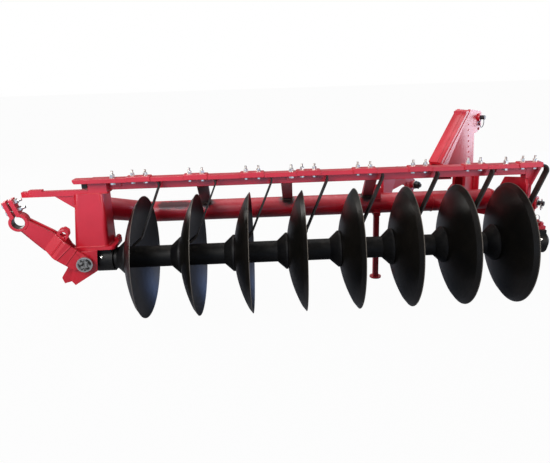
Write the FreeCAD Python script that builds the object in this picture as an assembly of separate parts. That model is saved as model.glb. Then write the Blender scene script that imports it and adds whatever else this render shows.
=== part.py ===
"""Mounted disc plough: eight dished discs on one common gang, carried under a pipe beam.

The plough stands on its discs and on one stand leg.  X runs along the gang, from the tail end
to the hitch end, and the discs' hollow sides face +X.  Z is up.  The tractor pulls along the
diagonal between +X and +Y, so the hitch is turned against the gang.
Sizes are in millimetres.  Heights, until the last step, are counted from the gang's axis.
"""
import FreeCAD, Part
import math
import os
from FreeCAD import Vector

# ---- driving sizes -------------------------------------------------------------------------
DISC_COUNT = 8
DISC_SPACING = 287.0
LAST_RIM_X = (DISC_COUNT - 1) * DISC_SPACING
DISC_RADIUS = 330.0
DISC_DEPTH = 90.0
DISC_THICKNESS = 6.0
DISC_BEVEL = 26.0
DISC_EDGE = 1.5

SHAFT_RADIUS = 25.0
HUB_CLEARANCE = 0.2
SEAT_CLEARANCE = 0.3
RUNNING_CLEARANCE = 0.05
SIDE_CLEARANCE = 5.0

SPOOL_RADIUS = 58.0
SPOOL_WALL = 12.0
BELL_RADIUS = 100.0
BELL_WALL = 14.0
BELL_LENGTH = 46.0
BELL_FLANGE = 10.0
SPOOL_WEB = 12.0

HOUSING_RADIUS = 67.5
HOUSING_LENGTH = 92.0
FRONT_HOUSING_LENGTH = 96.0
HOUSING_DROP = 75.0
HOUSING_BLOCK_HALF = 50.0
HOUSING_CAP = 11.0
FRONT_HOUSING_CAP = 24.0
HOUSING_CAP_NOSE = 34.0
REAR_BELL_LENGTH = 70.0
FRONT_HUB_END = LAST_RIM_X + 81.0

BEAM_RADIUS = 62.0
BEAM_WALL = 8.0
BEAM_Y = 382.0
BEAM_Z = 146.0
ELBOW_X = -60.0

BOX_X = -244.0
BOX_WIDTH = 146.0
BOX_FLARE = 32.0
BOX_DEPTH = 150.0
BOX_TOP = 378.0
BOX_WALL = 8.0
BOX_CORNER = 20.0
BASE_THICKNESS = 18.0
BASE_HALF_DEPTH = 80.0
BASE_TAB = 32.0

TOP_BEAM_SIDE = 56.0
TOP_BEAM_Z = 414.0
TOP_BEAM_WALL = 5.0
TOP_BEAM_END = LAST_RIM_X + 41.0
TOP_BLOCK_START = -243.0
TOP_BLOCK_END = -146.0
STRUT_WIDTH = 60.0
STRUT_THICKNESS = 14.0
STRUT_X = (331.0, 776.0, 1231.0)
STRUT_LEAN = (-36.0, 14.0, 43.0)

END_PLATE = 16.0
POST_WIDTH = 38.0
FRONT_BASE_END = LAST_RIM_X + 181.0
FRONT_BASE_HALF = 32.0

SCRAPER_WIDTH = 44.0
SCRAPER_THICKNESS = 8.0
SCRAPER_BEND_X = 145.0
SCRAPER_BEND_RADIUS = 26.0
SCRAPER_Y = -76.0
SCRAPER_KNEE_X = 10.0
SCRAPER_KNEE_Z = 130.0
BLADE_TIP_X = -48.0
BLADE_TIP_Z = 84.0
BLADE_WIDTH = 70.0
SCRAPER_BOLT_X = (-6.0, 58.0)
BAR_Y = -82.0
BAR_TOP = 460.0
BAR_LEG = 7.0
BAR_DROP = 22.0
BAR_START = -302.0
BAR_END = LAST_RIM_X + 89.0
CAP_LENGTH = 118.0
CAP_THICKNESS = 6.0
CLAMP_X = (-106.0, 3 * DISC_SPACING - 61.0, LAST_RIM_X - 98.0)

HITCH_X = LAST_RIM_X - 34.0
HITCH_Y = 535.0
HITCH_Z = 150.0
HITCH_HALF_SPAN = 412.5
LINK_PIN_RADIUS = 14.25
LINK_PIN_SHANK = 17.0
LINK_PIN_FREE = 38.0
TOP_PIN_RADIUS = 12.75
TOP_PIN_HEIGHT = 490.0
TOP_PIN_X = -12.0
BOSS_ACROSS = 72.0
BOSS_SEAT = 26.0
BOSS_OUT = 12.0
HITCH_ANGLE = 45.0
CROSS_SIDE = 60.0
CROSS_WALL = 6.0
CROSS_FRONT = -26.0
CROSS_BOTTOM = 48.0
ARM_PLATE = 20.0
MAST_PLATE = 16.0
MAST_GAP = 52.0
MAST_HOLE_STEP = 37.0
STAY_DEPTH = 22.0
STAY_WALL = 5.0
ARM_INSET = 10.0

STAND_X = 1333.0
STAND_Y = 345.0
STAND_SIDE = 32.0
STAND_WALL = 3.0
SLEEVE_SIDE = 42.0
SLEEVE_TOP = 256.0
SLEEVE_BELOW = 6.0
STAND_ABOVE = 14.0
FOOT_RADIUS = 36.0
FOOT_THICKNESS = 8.0

TAIL_PIVOT = (-304.0, -57.0, 16.0)
TAIL_TOE = 12.0
TAIL_PIN_RADIUS = 20.0
TAIL_HEAD_RADIUS = 40.0
PIN_SIDE_GAP = 2.0
CHEEK = 18.0
CHEEK_GAP = 55.0
ARM_SHEET = 16.0
RING_WIDTH = 58.0
RING_BORE = 30.0
RING_OUTER = 46.0
RING_AT = (-288.0, 243.0)
EAR_TURN = 32.0
EAR_REACH = 122.0
EAR_THICKNESS = 20.0
EAR_SLOT = 12.0
CLAMP_BOLT_RADIUS = 8.0
LUG_BORE = 13.0
STRUT_BAR_END = -582.0


# ---- small makers --------------------------------------------------------------------------
def block(x0, x1, y0, y1, z0, z1):
    """An upright block between two corners."""
    return Part.makeBox(x1 - x0, y1 - y0, z1 - z0, Vector(x0, y0, z0))


def rod(radius, start, end):
    """A solid cylinder from one point to another."""
    line = Vector(*end) - Vector(*start)
    return Part.makeCylinder(radius, line.Length, Vector(*start), line)


def tube(radius, wall, start, end):
    """A round tube from one point to another."""
    return rod(radius, start, end).cut(rod(radius - wall, start, end))


def face_of(points):
    """A flat face through the points; an entry of two points is an arc by its middle and end."""
    edges = []
    here = points[0]
    for step in list(points[1:]) + [points[0]]:
        if isinstance(step, tuple):
            edges.append(Part.Arc(here, step[0], step[1]).toShape())
            here = step[1]
        elif (step - here).Length > 1e-6:
            edges.append(Part.LineSegment(here, step).toShape())
            here = step
    return Part.Face(Part.Wire(edges))


def spin(points):
    """A solid of revolution about the gang's axis from (x, radius) points."""
    return face_of([as_xz(point) for point in points]).revolve(Vector(), Vector(1, 0, 0), 360)


def as_xz(point):
    """Turn (x, z), or a pair of them for an arc, into vectors in the XZ plane."""
    if isinstance(point[0], tuple):
        return (Vector(point[0][0], 0, point[0][1]), Vector(point[1][0], 0, point[1][1]))
    return Vector(point[0], 0, point[1])


def plate_xz(points, y0, y1):
    """A plate with its outline in XZ, from y0 to y1."""
    return face_of([as_xz(point) for point in points]).extrude(Vector(0, y1 - y0, 0)).translated(
        Vector(0, y0, 0))


def plate_yz(points, x0, x1):
    """A plate with its outline in YZ, from x0 to x1."""
    corners = [Vector(x0, y, z) for y, z in points]
    return face_of(corners).extrude(Vector(x1 - x0, 0, 0))


def hexagon(size, start, end):
    """A hexagon bar, size across flats, from one point to another."""
    line = Vector(*end) - Vector(*start)
    corner = size / math.sqrt(3)
    ring = [Vector(corner * math.cos(k * math.pi / 3), corner * math.sin(k * math.pi / 3), 0)
            for k in range(6)]
    bar = face_of(ring).extrude(Vector(0, 0, line.Length))
    bar.Placement = FreeCAD.Placement(Vector(*start), FreeCAD.Rotation(Vector(0, 0, 1), line))
    return bar


def joined(shapes):
    """Fuse shapes into one solid."""
    whole = shapes[0].multiFuse(shapes[1:]).removeSplitter()
    return whole.Solids[0] if len(whole.Solids) == 1 else whole


# ---- gang ----------------------------------------------------------------------------------
DISH_RADIUS = (DISC_RADIUS ** 2 + DISC_DEPTH ** 2) / (2 * DISC_DEPTH)


def hollow_x(radius):
    """Depth of a disc's hollow face, from its rim, at a radius."""
    return DISH_RADIUS - DISC_DEPTH - math.sqrt(DISH_RADIUS ** 2 - radius ** 2)


def back_x(radius):
    """Depth of a disc's rounded back, from its rim, at a radius."""
    outer = DISH_RADIUS + DISC_THICKNESS
    return DISH_RADIUS - DISC_DEPTH - math.sqrt(outer ** 2 - radius ** 2)


def disc(rim_x):
    """A dished disc with a bevelled edge; its rim lies in the plane at rim_x."""
    bore = SHAFT_RADIUS + HUB_CLEARANCE
    bevel = DISC_RADIUS - DISC_BEVEL
    middle = (bore + bevel) / 2
    profile = [(hollow_x(bore), bore),
               ((hollow_x(middle), middle), (hollow_x(DISC_RADIUS), DISC_RADIUS)),
               (hollow_x(DISC_RADIUS) - DISC_EDGE, DISC_RADIUS),
               (back_x(bevel), bevel),
               ((back_x(middle), middle), (back_x(bore), bore))]
    return spin(profile).translated(Vector(rim_x, 0, 0))


def rim(number):
    """X of the rim of a disc, counted from 1 at the tail end."""
    return (number - 1) * DISC_SPACING


def spool(start, end, length_of_cone=BELL_LENGTH):
    """A cast spool: a tube that opens to a bell where it carries the back of the next disc."""
    bore = SHAFT_RADIUS + HUB_CLEARANCE
    inside = SPOOL_RADIUS - SPOOL_WALL
    mouth = BELL_RADIUS - BELL_WALL
    flange = end - BELL_FLANGE
    cone = flange - length_of_cone
    return spin([(start, bore), (start, SPOOL_RADIUS), (cone, SPOOL_RADIUS),
                 (flange, BELL_RADIUS), (end, BELL_RADIUS), (end, mouth), (flange, mouth),
                 (cone + SPOOL_WEB, inside), (cone + SPOOL_WEB, bore), (cone, bore),
                 (cone, inside), (start + SPOOL_WEB, inside), (start + SPOOL_WEB, bore)])


def tube_seat(number):
    """X where a spool's plain end meets the hollow of a disc."""
    return rim(number) + hollow_x(SPOOL_RADIUS) + SEAT_CLEARANCE


def bell_seat(number):
    """X where a bell's mouth meets the back of a disc."""
    return rim(number) + back_x(BELL_RADIUS - BELL_WALL) - SEAT_CLEARANCE


REAR_BELL_START = bell_seat(1) - REAR_BELL_LENGTH
REAR_HOUSING_END = REAR_BELL_START - SIDE_CLEARANCE
REAR_HOUSING_START = REAR_HOUSING_END - HOUSING_LENGTH
FRONT_HOUSING_START = FRONT_HUB_END + SIDE_CLEARANCE
FRONT_HOUSING_END = FRONT_HOUSING_START + FRONT_HOUSING_LENGTH


def spools():
    """The seven spools between the discs, the tail-end bell and the plain hitch-end hub."""
    bore = SHAFT_RADIUS + HUB_CLEARANCE
    parts = [spool(tube_seat(n), bell_seat(n + 1)) for n in range(1, DISC_COUNT)]
    parts.append(spool(REAR_BELL_START, bell_seat(1)))
    hub_start = tube_seat(DISC_COUNT)
    parts.append(tube(SPOOL_RADIUS, SPOOL_RADIUS - bore, (hub_start, 0, 0), (FRONT_HUB_END, 0, 0)))
    return Part.makeCompound(parts)


def gang_shaft():
    """The shaft through all discs and spools, running in a bearing at each end."""
    return rod(SHAFT_RADIUS, (REAR_HOUSING_START + 12, 0, 0), (FRONT_HOUSING_END - 8, 0, 0))


def bearing(start, end, cap):
    """A round bearing housing under a hanger block, closed by a cone on the cap's side."""
    face = end if cap > 0 else start
    nose = [(face, 0), (face, HOUSING_RADIUS), (face + cap, HOUSING_CAP_NOSE), (face + cap, 0)]
    body = joined([rod(HOUSING_RADIUS, (start, 0, 0), (end, 0, 0)), spin(nose),
                   block(start + 5, end - 5, -HOUSING_BLOCK_HALF, HOUSING_BLOCK_HALF, 0,
                         HOUSING_DROP)])
    bore = SHAFT_RADIUS + RUNNING_CLEARANCE
    low, high = (start + 6, end + 1) if cap < 0 else (start - 1, end - 4)
    return body.cut(rod(bore, (low, 0, 0), (high, 0, 0)))


# ---- beam, end frames ----------------------------------------------------------------------
def pipe_cut():
    """The main pipe's full outline, to cope other pieces against it."""
    return rod(BEAM_RADIUS + HUB_CLEARANCE, (ELBOW_X - 200, BEAM_Y, BEAM_Z),
               (TOP_BEAM_END + 200, BEAM_Y, BEAM_Z))


ELBOW_START = Vector(ELBOW_X, BEAM_Y, BEAM_Z)
ELBOW_END = Vector(BOX_X, BOX_DEPTH / 2 - 15, BOX_TOP - 108)


def mitre_side(keep):
    """A large block on one side of the mitre plane between the pipe and its elbow."""
    normal = (ELBOW_START - ELBOW_END).normalize() + Vector(1, 0, 0)
    size = 4000.0
    piece = Part.makeBox(size, size, size, Vector(-size / 2, -size / 2, 0))
    piece.Placement = FreeCAD.Placement(
        ELBOW_START, FreeCAD.Rotation(Vector(0, 0, 1), normal * keep))
    return piece


def main_beam():
    """The long pipe behind the gang, mitred at the tail end and open for the stand's sleeve."""
    pipe = tube(BEAM_RADIUS, BEAM_WALL, (ELBOW_X - 150, BEAM_Y, BEAM_Z),
                (TOP_BEAM_END, BEAM_Y, BEAM_Z))
    slot = SLEEVE_SIDE / 2 + SEAT_CLEARANCE
    hole = block(STAND_X - slot, STAND_X + slot, STAND_Y - slot, STAND_Y + slot,
                 BEAM_Z - 2 * BEAM_RADIUS, BEAM_Z + 2 * BEAM_RADIUS)
    return pipe.common(mitre_side(1)).cut(hole)


def box_solid(inset=0.0):
    """The tail box's outline, wider at its foot; an inset gives the hollow inside it."""
    half, low, high = BOX_WIDTH / 2 - inset, HOUSING_DROP + BASE_THICKNESS, BOX_TOP - inset
    flare = BOX_FLARE * (high - low) / (BOX_TOP - low)
    depth = BOX_DEPTH / 2 - inset
    body = plate_xz([(BOX_X - half - flare, low), (BOX_X + half, low), (BOX_X + half, high),
                     (BOX_X - half, high)], -depth, depth)
    upright = [edge for edge in body.Edges if edge.BoundBox.ZLength > 1]
    return body.makeFillet(BOX_CORNER - inset, upright)


def beam_elbow():
    """The slanting pipe that joins the main beam to the tail box."""
    axis = (ELBOW_START - ELBOW_END).normalize()
    outer_end = ELBOW_START + axis * 150
    pipe = tube(BEAM_RADIUS, BEAM_WALL, tuple(ELBOW_END), tuple(outer_end))
    return pipe.common(mitre_side(-1)).cut(box_solid())


def tail_box():
    """The upright hollow section at the tail end, closed by a lid and open below."""
    return box_solid().cut(box_solid(BOX_WALL))


def tail_base_plate():
    """The plate under the tail box, with a round-ended tab towards the discs."""
    x0 = BOX_X - BOX_WIDTH / 2 - BOX_FLARE
    x1 = BOX_X + BOX_WIDTH / 2 + BASE_TAB
    plate = block(x0, x1, -BASE_HALF_DEPTH, BASE_HALF_DEPTH, HOUSING_DROP,
                  HOUSING_DROP + BASE_THICKNESS)
    corners = [edge for edge in plate.Edges
               if edge.BoundBox.ZLength > 1 and edge.BoundBox.XMin > BOX_X]
    return plate.makeFillet(BASE_TAB * 0.8, corners)


def top_block():
    """The hollow block on the tail box that takes the end of the top beam."""
    y0, y1 = -BOX_DEPTH / 2 + 6, TOP_BEAM_SIDE / 2
    top = TOP_BEAM_Z + TOP_BEAM_SIDE / 2 + 4
    outer = block(TOP_BLOCK_START, TOP_BLOCK_END, y0, y1, BOX_TOP, top)
    return outer.cut(block(TOP_BLOCK_START + BOX_WALL, TOP_BLOCK_END - BOX_WALL, y0 + BOX_WALL,
                           y1 - BOX_WALL, BOX_TOP - 1, top - BOX_WALL))


def top_beam():
    """The square tube above the discs, from the block on the tail box to the front post."""
    half = TOP_BEAM_SIDE / 2
    inner = half - TOP_BEAM_WALL
    bar = block(TOP_BLOCK_END, TOP_BEAM_END, -half, half, TOP_BEAM_Z - half, TOP_BEAM_Z + half)
    return bar.cut(block(TOP_BLOCK_END - 1, TOP_BEAM_END + 1, -inner, inner,
                         TOP_BEAM_Z - inner, TOP_BEAM_Z + inner))


def beam_struts():
    """Flat struts from the top beam back and down to the pipe, each leaning a little."""
    low = TOP_BEAM_Z - TOP_BEAM_SIDE / 2
    foot = BEAM_Z + BEAM_RADIUS - 6
    back = TOP_BEAM_SIDE / 2
    slope = STRUT_THICKNESS * 2
    outline = [(back - slope, low), (back, low), (BEAM_Y - 4, foot), (BEAM_Y - 4 - slope, foot - 6)]
    struts = []
    for x, lean in zip(STRUT_X, STRUT_LEAN):
        corners = [Vector(x - STRUT_WIDTH / 2 + lean * (low - z) / (low - foot), y, z)
                   for y, z in outline]
        struts.append(face_of(corners).extrude(Vector(STRUT_WIDTH, 0, 0)).cut(pipe_cut()))
    return Part.makeCompound(struts)


def front_end_plate():
    """The upright plate that closes the pipe and carries the hitch-end bearing."""
    foot = HOUSING_DROP + BASE_THICKNESS
    pipe_top = BEAM_Z + BEAM_RADIUS
    outline = [(-45, foot), (-45, 330), (-25, 362), (20, 362), (208, 324), (267, 253),
               (322, pipe_top - 4), (BEAM_Y + 20, pipe_top - 3),
               (BEAM_Y + 66, BEAM_Z + 25), (BEAM_Y + 66, BEAM_Z - 40),
               (BEAM_Y + 10, BEAM_Z - BEAM_RADIUS - 4), (150, foot)]
    return plate_yz(outline, TOP_BEAM_END, TOP_BEAM_END + END_PLATE)


def front_post():
    """The short post and its gusset, on the end plate under the scraper bar."""
    x0 = TOP_BEAM_END
    half = TOP_BEAM_SIDE / 2
    post = block(x0, x0 + POST_WIDTH, -half, half, 262, TOP_BEAM_Z + half)
    post = post.cut(block(x0, x0 + END_PLATE, -60, 60, 0, 362))
    edge = x0 + POST_WIDTH
    top = TOP_BEAM_Z + half
    gusset = plate_xz([(edge, top - 120), (edge, top), (edge + 48, top), (edge + 48, top - 18)],
                      -half, -half + 12)
    return joined([post, gusset])


def front_base_plate():
    """The plate that the hitch-end bearing hangs from."""
    return block(TOP_BEAM_END - 5, FRONT_BASE_END, -FRONT_BASE_HALF, FRONT_BASE_HALF,
                 HOUSING_DROP, HOUSING_DROP + BASE_THICKNESS)


# ---- scrapers ------------------------------------------------------------------------------
CAP_X = (SCRAPER_BOLT_X[0] + SCRAPER_BOLT_X[1]) / 2


def scraper_bar():
    """An angle bar over the discs; its short front leg hides the scrapers' bolted ends."""
    half = SCRAPER_WIDTH / 2 + 2
    top = block(BAR_START, BAR_END, BAR_Y - half, BAR_Y + half + 4, BAR_TOP - BAR_LEG, BAR_TOP)
    skirt = block(BAR_START, BAR_END, BAR_Y - half, BAR_Y - half + BAR_LEG, BAR_TOP - BAR_DROP,
                  BAR_TOP)
    tip = plate_xz([(BAR_START - 1, BAR_TOP - BAR_DROP - 1), (BAR_START - 1, BAR_TOP - 8),
                    (BAR_START + 8, BAR_TOP - BAR_DROP - 1)], BAR_Y - half - 1, BAR_Y + half + 5)
    return joined([top, skirt]).cut(tip)


def scraper_caps():
    """The cap plates on the bar, one over each scraper."""
    half = SCRAPER_WIDTH / 2 + 4
    return Part.makeCompound([block(rim(n) + CAP_X - CAP_LENGTH / 2, rim(n) + CAP_X + CAP_LENGTH / 2,
                                    BAR_Y - half, BAR_Y + half, BAR_TOP,
                                    BAR_TOP + CAP_THICKNESS)
                              for n in range(1, DISC_COUNT + 1)])


def bar_clamps():
    """The lugs that hold the scraper bar on the front of the top beam."""
    front = -TOP_BEAM_SIDE / 2
    lip = BAR_Y - SCRAPER_WIDTH / 2 - 2
    low = BAR_TOP - BAR_DROP
    lugs = []
    for x in CLAMP_X:
        shelf = block(x - 26, x + 26, lip + BAR_LEG, front, low, low + 8)
        wall = block(x - 26, x + 26, front - 8, front, low - 34, low + 8)
        lugs.append(joined([shelf, wall]))
    return Part.makeCompound(lugs)


def strip(points, thickness):
    """The XZ outline of a bent flat bar; the points run along its upper or outer side."""
    inner = []
    for index, point in enumerate(points):
        sides = []
        for one, two in ((index - 1, index), (index, index + 1)):
            if one >= 0 and two < len(points):
                run = Vector(points[two][0] - points[one][0], 0,
                             points[two][1] - points[one][1]).normalize()
                sides.append(Vector(run.z, 0, -run.x))
        mean = sum(sides[1:], sides[0]).normalize()
        reach = thickness / mean.dot(sides[0])
        inner.append((point[0] + mean.x * reach, point[1] + mean.z * reach))
    return points + inner[::-1]


def bend_edge(arm, pick):
    """The edge across a scraper arm at its top bend: the outermost or the innermost one."""
    across = [edge for edge in arm.Edges
              if edge.BoundBox.YLength > 1 and edge.BoundBox.ZMin > BAR_TOP - 40
              and edge.BoundBox.XMin > SCRAPER_BEND_X - 3 * SCRAPER_THICKNESS]
    return pick(across, key=lambda edge: edge.BoundBox.XMax)


def scraper(number):
    """A flat bar bolted under the scraper bar, bent down to a blade in the disc's hollow."""
    outline = [(CAP_X - CAP_LENGTH / 2 + 6, BAR_TOP - BAR_LEG), (SCRAPER_BEND_X, BAR_TOP - BAR_LEG),
               (SCRAPER_KNEE_X, SCRAPER_KNEE_Z)]
    half = SCRAPER_WIDTH / 2
    arm = plate_xz(strip(outline, SCRAPER_THICKNESS), SCRAPER_Y - half, SCRAPER_Y + half)
    arm = arm.makeFillet(SCRAPER_BEND_RADIUS, [bend_edge(arm, min)])
    arm = arm.makeFillet(SCRAPER_BEND_RADIUS + SCRAPER_THICKNESS, [bend_edge(arm, max)])
    half = BLADE_WIDTH / 2
    edge = [(SCRAPER_KNEE_X + 6, SCRAPER_KNEE_Z + 16), (SCRAPER_KNEE_X, SCRAPER_KNEE_Z),
            (BLADE_TIP_X, BLADE_TIP_Z)]
    blade = plate_xz(strip(edge, SCRAPER_THICKNESS), SCRAPER_Y - half, SCRAPER_Y + half)
    return joined([arm, blade]).translated(Vector(rim(number), 0, 0))


# ---- hitch ---------------------------------------------------------------------------------
def on_hitch(shape):
    """Place a piece drawn with +X forward and +Y to the far side onto the turned hitch."""
    shape.rotate(Vector(), Vector(0, 0, 1), HITCH_ANGLE)
    shape.translate(Vector(HITCH_X, HITCH_Y, 0))
    return shape


TOP_PIN_Z = HITCH_Z + TOP_PIN_HEIGHT
MAST_OUTER = MAST_GAP / 2 + MAST_PLATE
CROSS_TOP = CROSS_BOTTOM + CROSS_SIDE
CROSS_REAR = CROSS_FRONT - CROSS_SIDE


MAST_EDGE = [(-480.0, 408.0), (-151.0, 684.0)]


def mast_plates():
    """Two side plates that stand on the cross beam and carry the top-link pin between them."""
    outline = [(-215, CROSS_TOP), (-30, CROSS_TOP), (-68, 545), (-24, 552), (10, 562), (30, 590),
               (16, 676), (-142, 698), MAST_EDGE[1], MAST_EDGE[0], (-440, 372), (-155, 345),
               (-155, 232), (-215, 205)]
    places = [TOP_PIN_Z - k * MAST_HOLE_STEP for k in range(3)]
    plates = []
    for low in (-MAST_OUTER, MAST_GAP / 2):
        plate = plate_xz(outline, low, low + MAST_PLATE)
        if low < 0:
            boss = rod(24, (TOP_PIN_X, low - 10, TOP_PIN_Z), (TOP_PIN_X, low + 1, TOP_PIN_Z))
            plate = joined([plate, boss])
        for z in places:
            plate = plate.cut(rod(TOP_PIN_RADIUS + HUB_CLEARANCE, (TOP_PIN_X, -100, z),
                                  (TOP_PIN_X, 100, z)))
        plates.append(on_hitch(plate).cut(pipe_cut()))
    return Part.makeCompound(plates)


def mast_front_plate():
    """The cross plate in front of the mast's legs, on the cross beam."""
    plate = block(-26, -12, -72, 72, CROSS_TOP, 325)
    return on_hitch(plate).cut(mast_plates()).cut(pipe_cut())


def mast_stay():
    """The flat box section on the mast's slanting back, with a square lug at its top."""
    run = Vector(MAST_EDGE[1][0] - MAST_EDGE[0][0], 0,
                 MAST_EDGE[1][1] - MAST_EDGE[0][1]).normalize()
    out = Vector(-run.z, 0, run.x)
    half = MAST_OUTER - 3

    def section(inset, low, y):
        first = Vector(MAST_EDGE[0][0], 0, MAST_EDGE[0][1]) + run * (6 + inset)
        last = Vector(MAST_EDGE[1][0], 0, MAST_EDGE[1][1]) - run * (6 + inset)
        corners = (first + out * low, last + out * low, last + out * (STAY_DEPTH - inset),
                   first + out * (STAY_DEPTH - inset))
        return plate_xz([(p.x, p.z) for p in corners], -y, y)

    body = section(0.0, 0.0, half).cut(section(STAY_WALL, STAY_WALL, half - STAY_WALL))
    top = Vector(MAST_EDGE[1][0], 0, MAST_EDGE[1][1])
    lug = block(top.x - 46, top.x - 6, -half, half, top.z - 44, top.z + 6)
    lug = lug.cut(section(0.0, -90.0, half + 1))
    beyond = [(MAST_EDGE[0][0], MAST_EDGE[0][1]), MAST_EDGE[1], (top.x + 200, top.z + 166.5),
              (top.x + 200, 0), (MAST_EDGE[0][0], 0)]
    return on_hitch(joined([body, lug.cut(plate_xz(beyond, -99, 99))]))


def mast_foot():
    """A short square tube from the top beam to the foot of the mast."""
    x0, x1, wall, low, high = HITCH_X - 389, HITCH_X - 303, 5.0, 362.0, 408.0
    back = TOP_BEAM_SIDE / 2
    outer = block(x0, x1, back, 235, low, high)
    inside = block(x0 + wall, x1 - wall, back - 1, 236, low + wall, high - wall)
    beyond = plate_xz([(-472, 0), (400, 0), (400, 900), (-472, 900)], -500, 500)
    return outer.cut(inside).cut(on_hitch(beyond)).cut(mast_plates()).cut(mast_stay())


def cross_beam():
    """The square tube that joins the mast, both lower arms and the end plate."""
    low = -HITCH_HALF_SPAN + ARM_INSET + ARM_PLATE / 2
    beam = block(CROSS_REAR, CROSS_FRONT, low, HITCH_HALF_SPAN + 60, CROSS_BOTTOM, CROSS_TOP)
    hollow = block(CROSS_REAR + CROSS_WALL, CROSS_FRONT - CROSS_WALL, low - 1,
                   HITCH_HALF_SPAN + 61, CROSS_BOTTOM + CROSS_WALL, CROSS_TOP - CROSS_WALL)
    whole = on_hitch(beam.cut(hollow))
    beyond = on_far_arm(block(-200, 900, -ARM_PLATE / 2, 300, -200, 600))
    return whole.cut(beyond).cut(pipe_cut()).cut(front_end_plate())


FAR_PIN = (HITCH_X - HITCH_HALF_SPAN * math.sin(math.radians(HITCH_ANGLE)),
           HITCH_Y + HITCH_HALF_SPAN * math.cos(math.radians(HITCH_ANGLE)))
FAR_ROOT = (HITCH_X - 595, BEAM_Y + 30)
FAR_LENGTH = math.hypot(FAR_PIN[0] - FAR_ROOT[0], FAR_PIN[1] - FAR_ROOT[1])
FAR_ANGLE = math.degrees(math.atan2(FAR_PIN[1] - FAR_ROOT[1], FAR_PIN[0] - FAR_ROOT[0]))


def on_far_arm(shape):
    """Place a piece drawn with +X along the far lower arm, from its root on the pipe."""
    shape.rotate(Vector(), Vector(0, 0, 1), FAR_ANGLE)
    shape.translate(Vector(FAR_ROOT[0], FAR_ROOT[1], 0))
    return shape


def pin_bore(side):
    """The hole for a lower-link pin and its sleeve; side is -1 near and +1 far."""
    return on_hitch(rod(BOSS_SEAT + HUB_CLEARANCE, (0, side * (HITCH_HALF_SPAN - 80), HITCH_Z),
                        (0, side * (HITCH_HALF_SPAN + 80), HITCH_Z)))


def far_arm():
    """The deep plate from the pipe to the far lower-link pin."""
    end = FAR_LENGTH
    outline = [(0, 120), (95, 120), (150, 188), (400, 188), (452, CROSS_TOP),
               (452, CROSS_BOTTOM), (end - 20, CROSS_BOTTOM), (end + 34, HITCH_Z - 30),
               ((end + 46, HITCH_Z), (end + 34, HITCH_Z + 30)), (end - 6, HITCH_Z + 48),
               (250, 325), (0, 325)]
    half = ARM_PLATE / 2
    plate = on_far_arm(plate_xz(outline, -half, half))
    return plate.cut(pipe_cut()).cut(pin_bore(1))


def near_arm():
    """The plate from the end plate to the near lower-link pin."""
    foot = HOUSING_DROP + BASE_THICKNESS
    outline = [(-340, foot), (-140, foot), (CROSS_REAR - 4, CROSS_BOTTOM),
               (CROSS_FRONT + 6, CROSS_BOTTOM), (32, HITCH_Z - 30),
               ((44, HITCH_Z), (32, HITCH_Z + 30)), (-6, HITCH_Z + 44), (-120, 220), (-340, 220)]
    half = ARM_PLATE / 2
    middle = -HITCH_HALF_SPAN + ARM_INSET
    plate = on_hitch(plate_xz(outline, middle - half, middle + half))
    behind = block(0, TOP_BEAM_END + END_PLATE, -900, 900, -300, 900)
    return plate.cut(behind).cut(pin_bore(-1))


def pin_bosses():
    """The hexagon sleeves welded into the two lower arms around their pins."""
    bosses = []
    for side in (-1, 1):
        inner, outer = HITCH_HALF_SPAN - 27, HITCH_HALF_SPAN + BOSS_OUT
        plate = HITCH_HALF_SPAN - ARM_INSET + ARM_PLATE / 2
        if side > 0:
            outer = HITCH_HALF_SPAN + 38
            plate = HITCH_HALF_SPAN + 22
        barrel = rod(BOSS_SEAT, (0, side * inner, HITCH_Z), (0, side * outer, HITCH_Z))
        head = hexagon(BOSS_ACROSS, (0, side * plate, HITCH_Z), (0, side * outer, HITCH_Z))
        bore = rod(LINK_PIN_SHANK + HUB_CLEARANCE, (0, side * (inner - 1), HITCH_Z),
                   (0, side * (outer + 1), HITCH_Z))
        bosses.append(on_hitch(joined([barrel, head]).cut(bore)))
    return Part.makeCompound(bosses)


def link_pins():
    """The two lower-link pins; their free ends take the tractor's link balls."""
    pins = []
    for side in (-1, 1):
        inner = HITCH_HALF_SPAN - 42
        seat = HITCH_HALF_SPAN + (BOSS_OUT if side < 0 else 38)
        shank = rod(LINK_PIN_SHANK, (0, side * inner, HITCH_Z), (0, side * seat, HITCH_Z))
        free_end = rod(LINK_PIN_RADIUS, (0, side * (seat - 10), HITCH_Z),
                       (0, side * (seat + LINK_PIN_FREE), HITCH_Z))
        pins.append(on_hitch(joined([shank, free_end])))
    return Part.makeCompound(pins)


def top_pin():
    """The top-link pin across the two mast plates, with its head on the far side."""
    x, z = TOP_PIN_X, TOP_PIN_Z
    pin = rod(TOP_PIN_RADIUS, (x, -MAST_OUTER - 38, z), (x, MAST_OUTER + 12, z))
    head = rod(20, (x, MAST_OUTER + SEAT_CLEARANCE, z), (x, MAST_OUTER + 12, z))
    return on_hitch(joined([pin, head]))


# ---- stand ---------------------------------------------------------------------------------
def stand_sleeve():
    """The square sleeve through the main pipe that guides the stand leg."""
    half, bore = SLEEVE_SIDE / 2, STAND_SIDE / 2 + SEAT_CLEARANCE
    low, high = BEAM_Z - BEAM_RADIUS - SLEEVE_BELOW, SLEEVE_TOP
    outer = block(STAND_X - half, STAND_X + half, STAND_Y - half, STAND_Y + half, low, high)
    return outer.cut(block(STAND_X - bore, STAND_X + bore, STAND_Y - bore, STAND_Y + bore,
                           low - 1, high + 1))


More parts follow.
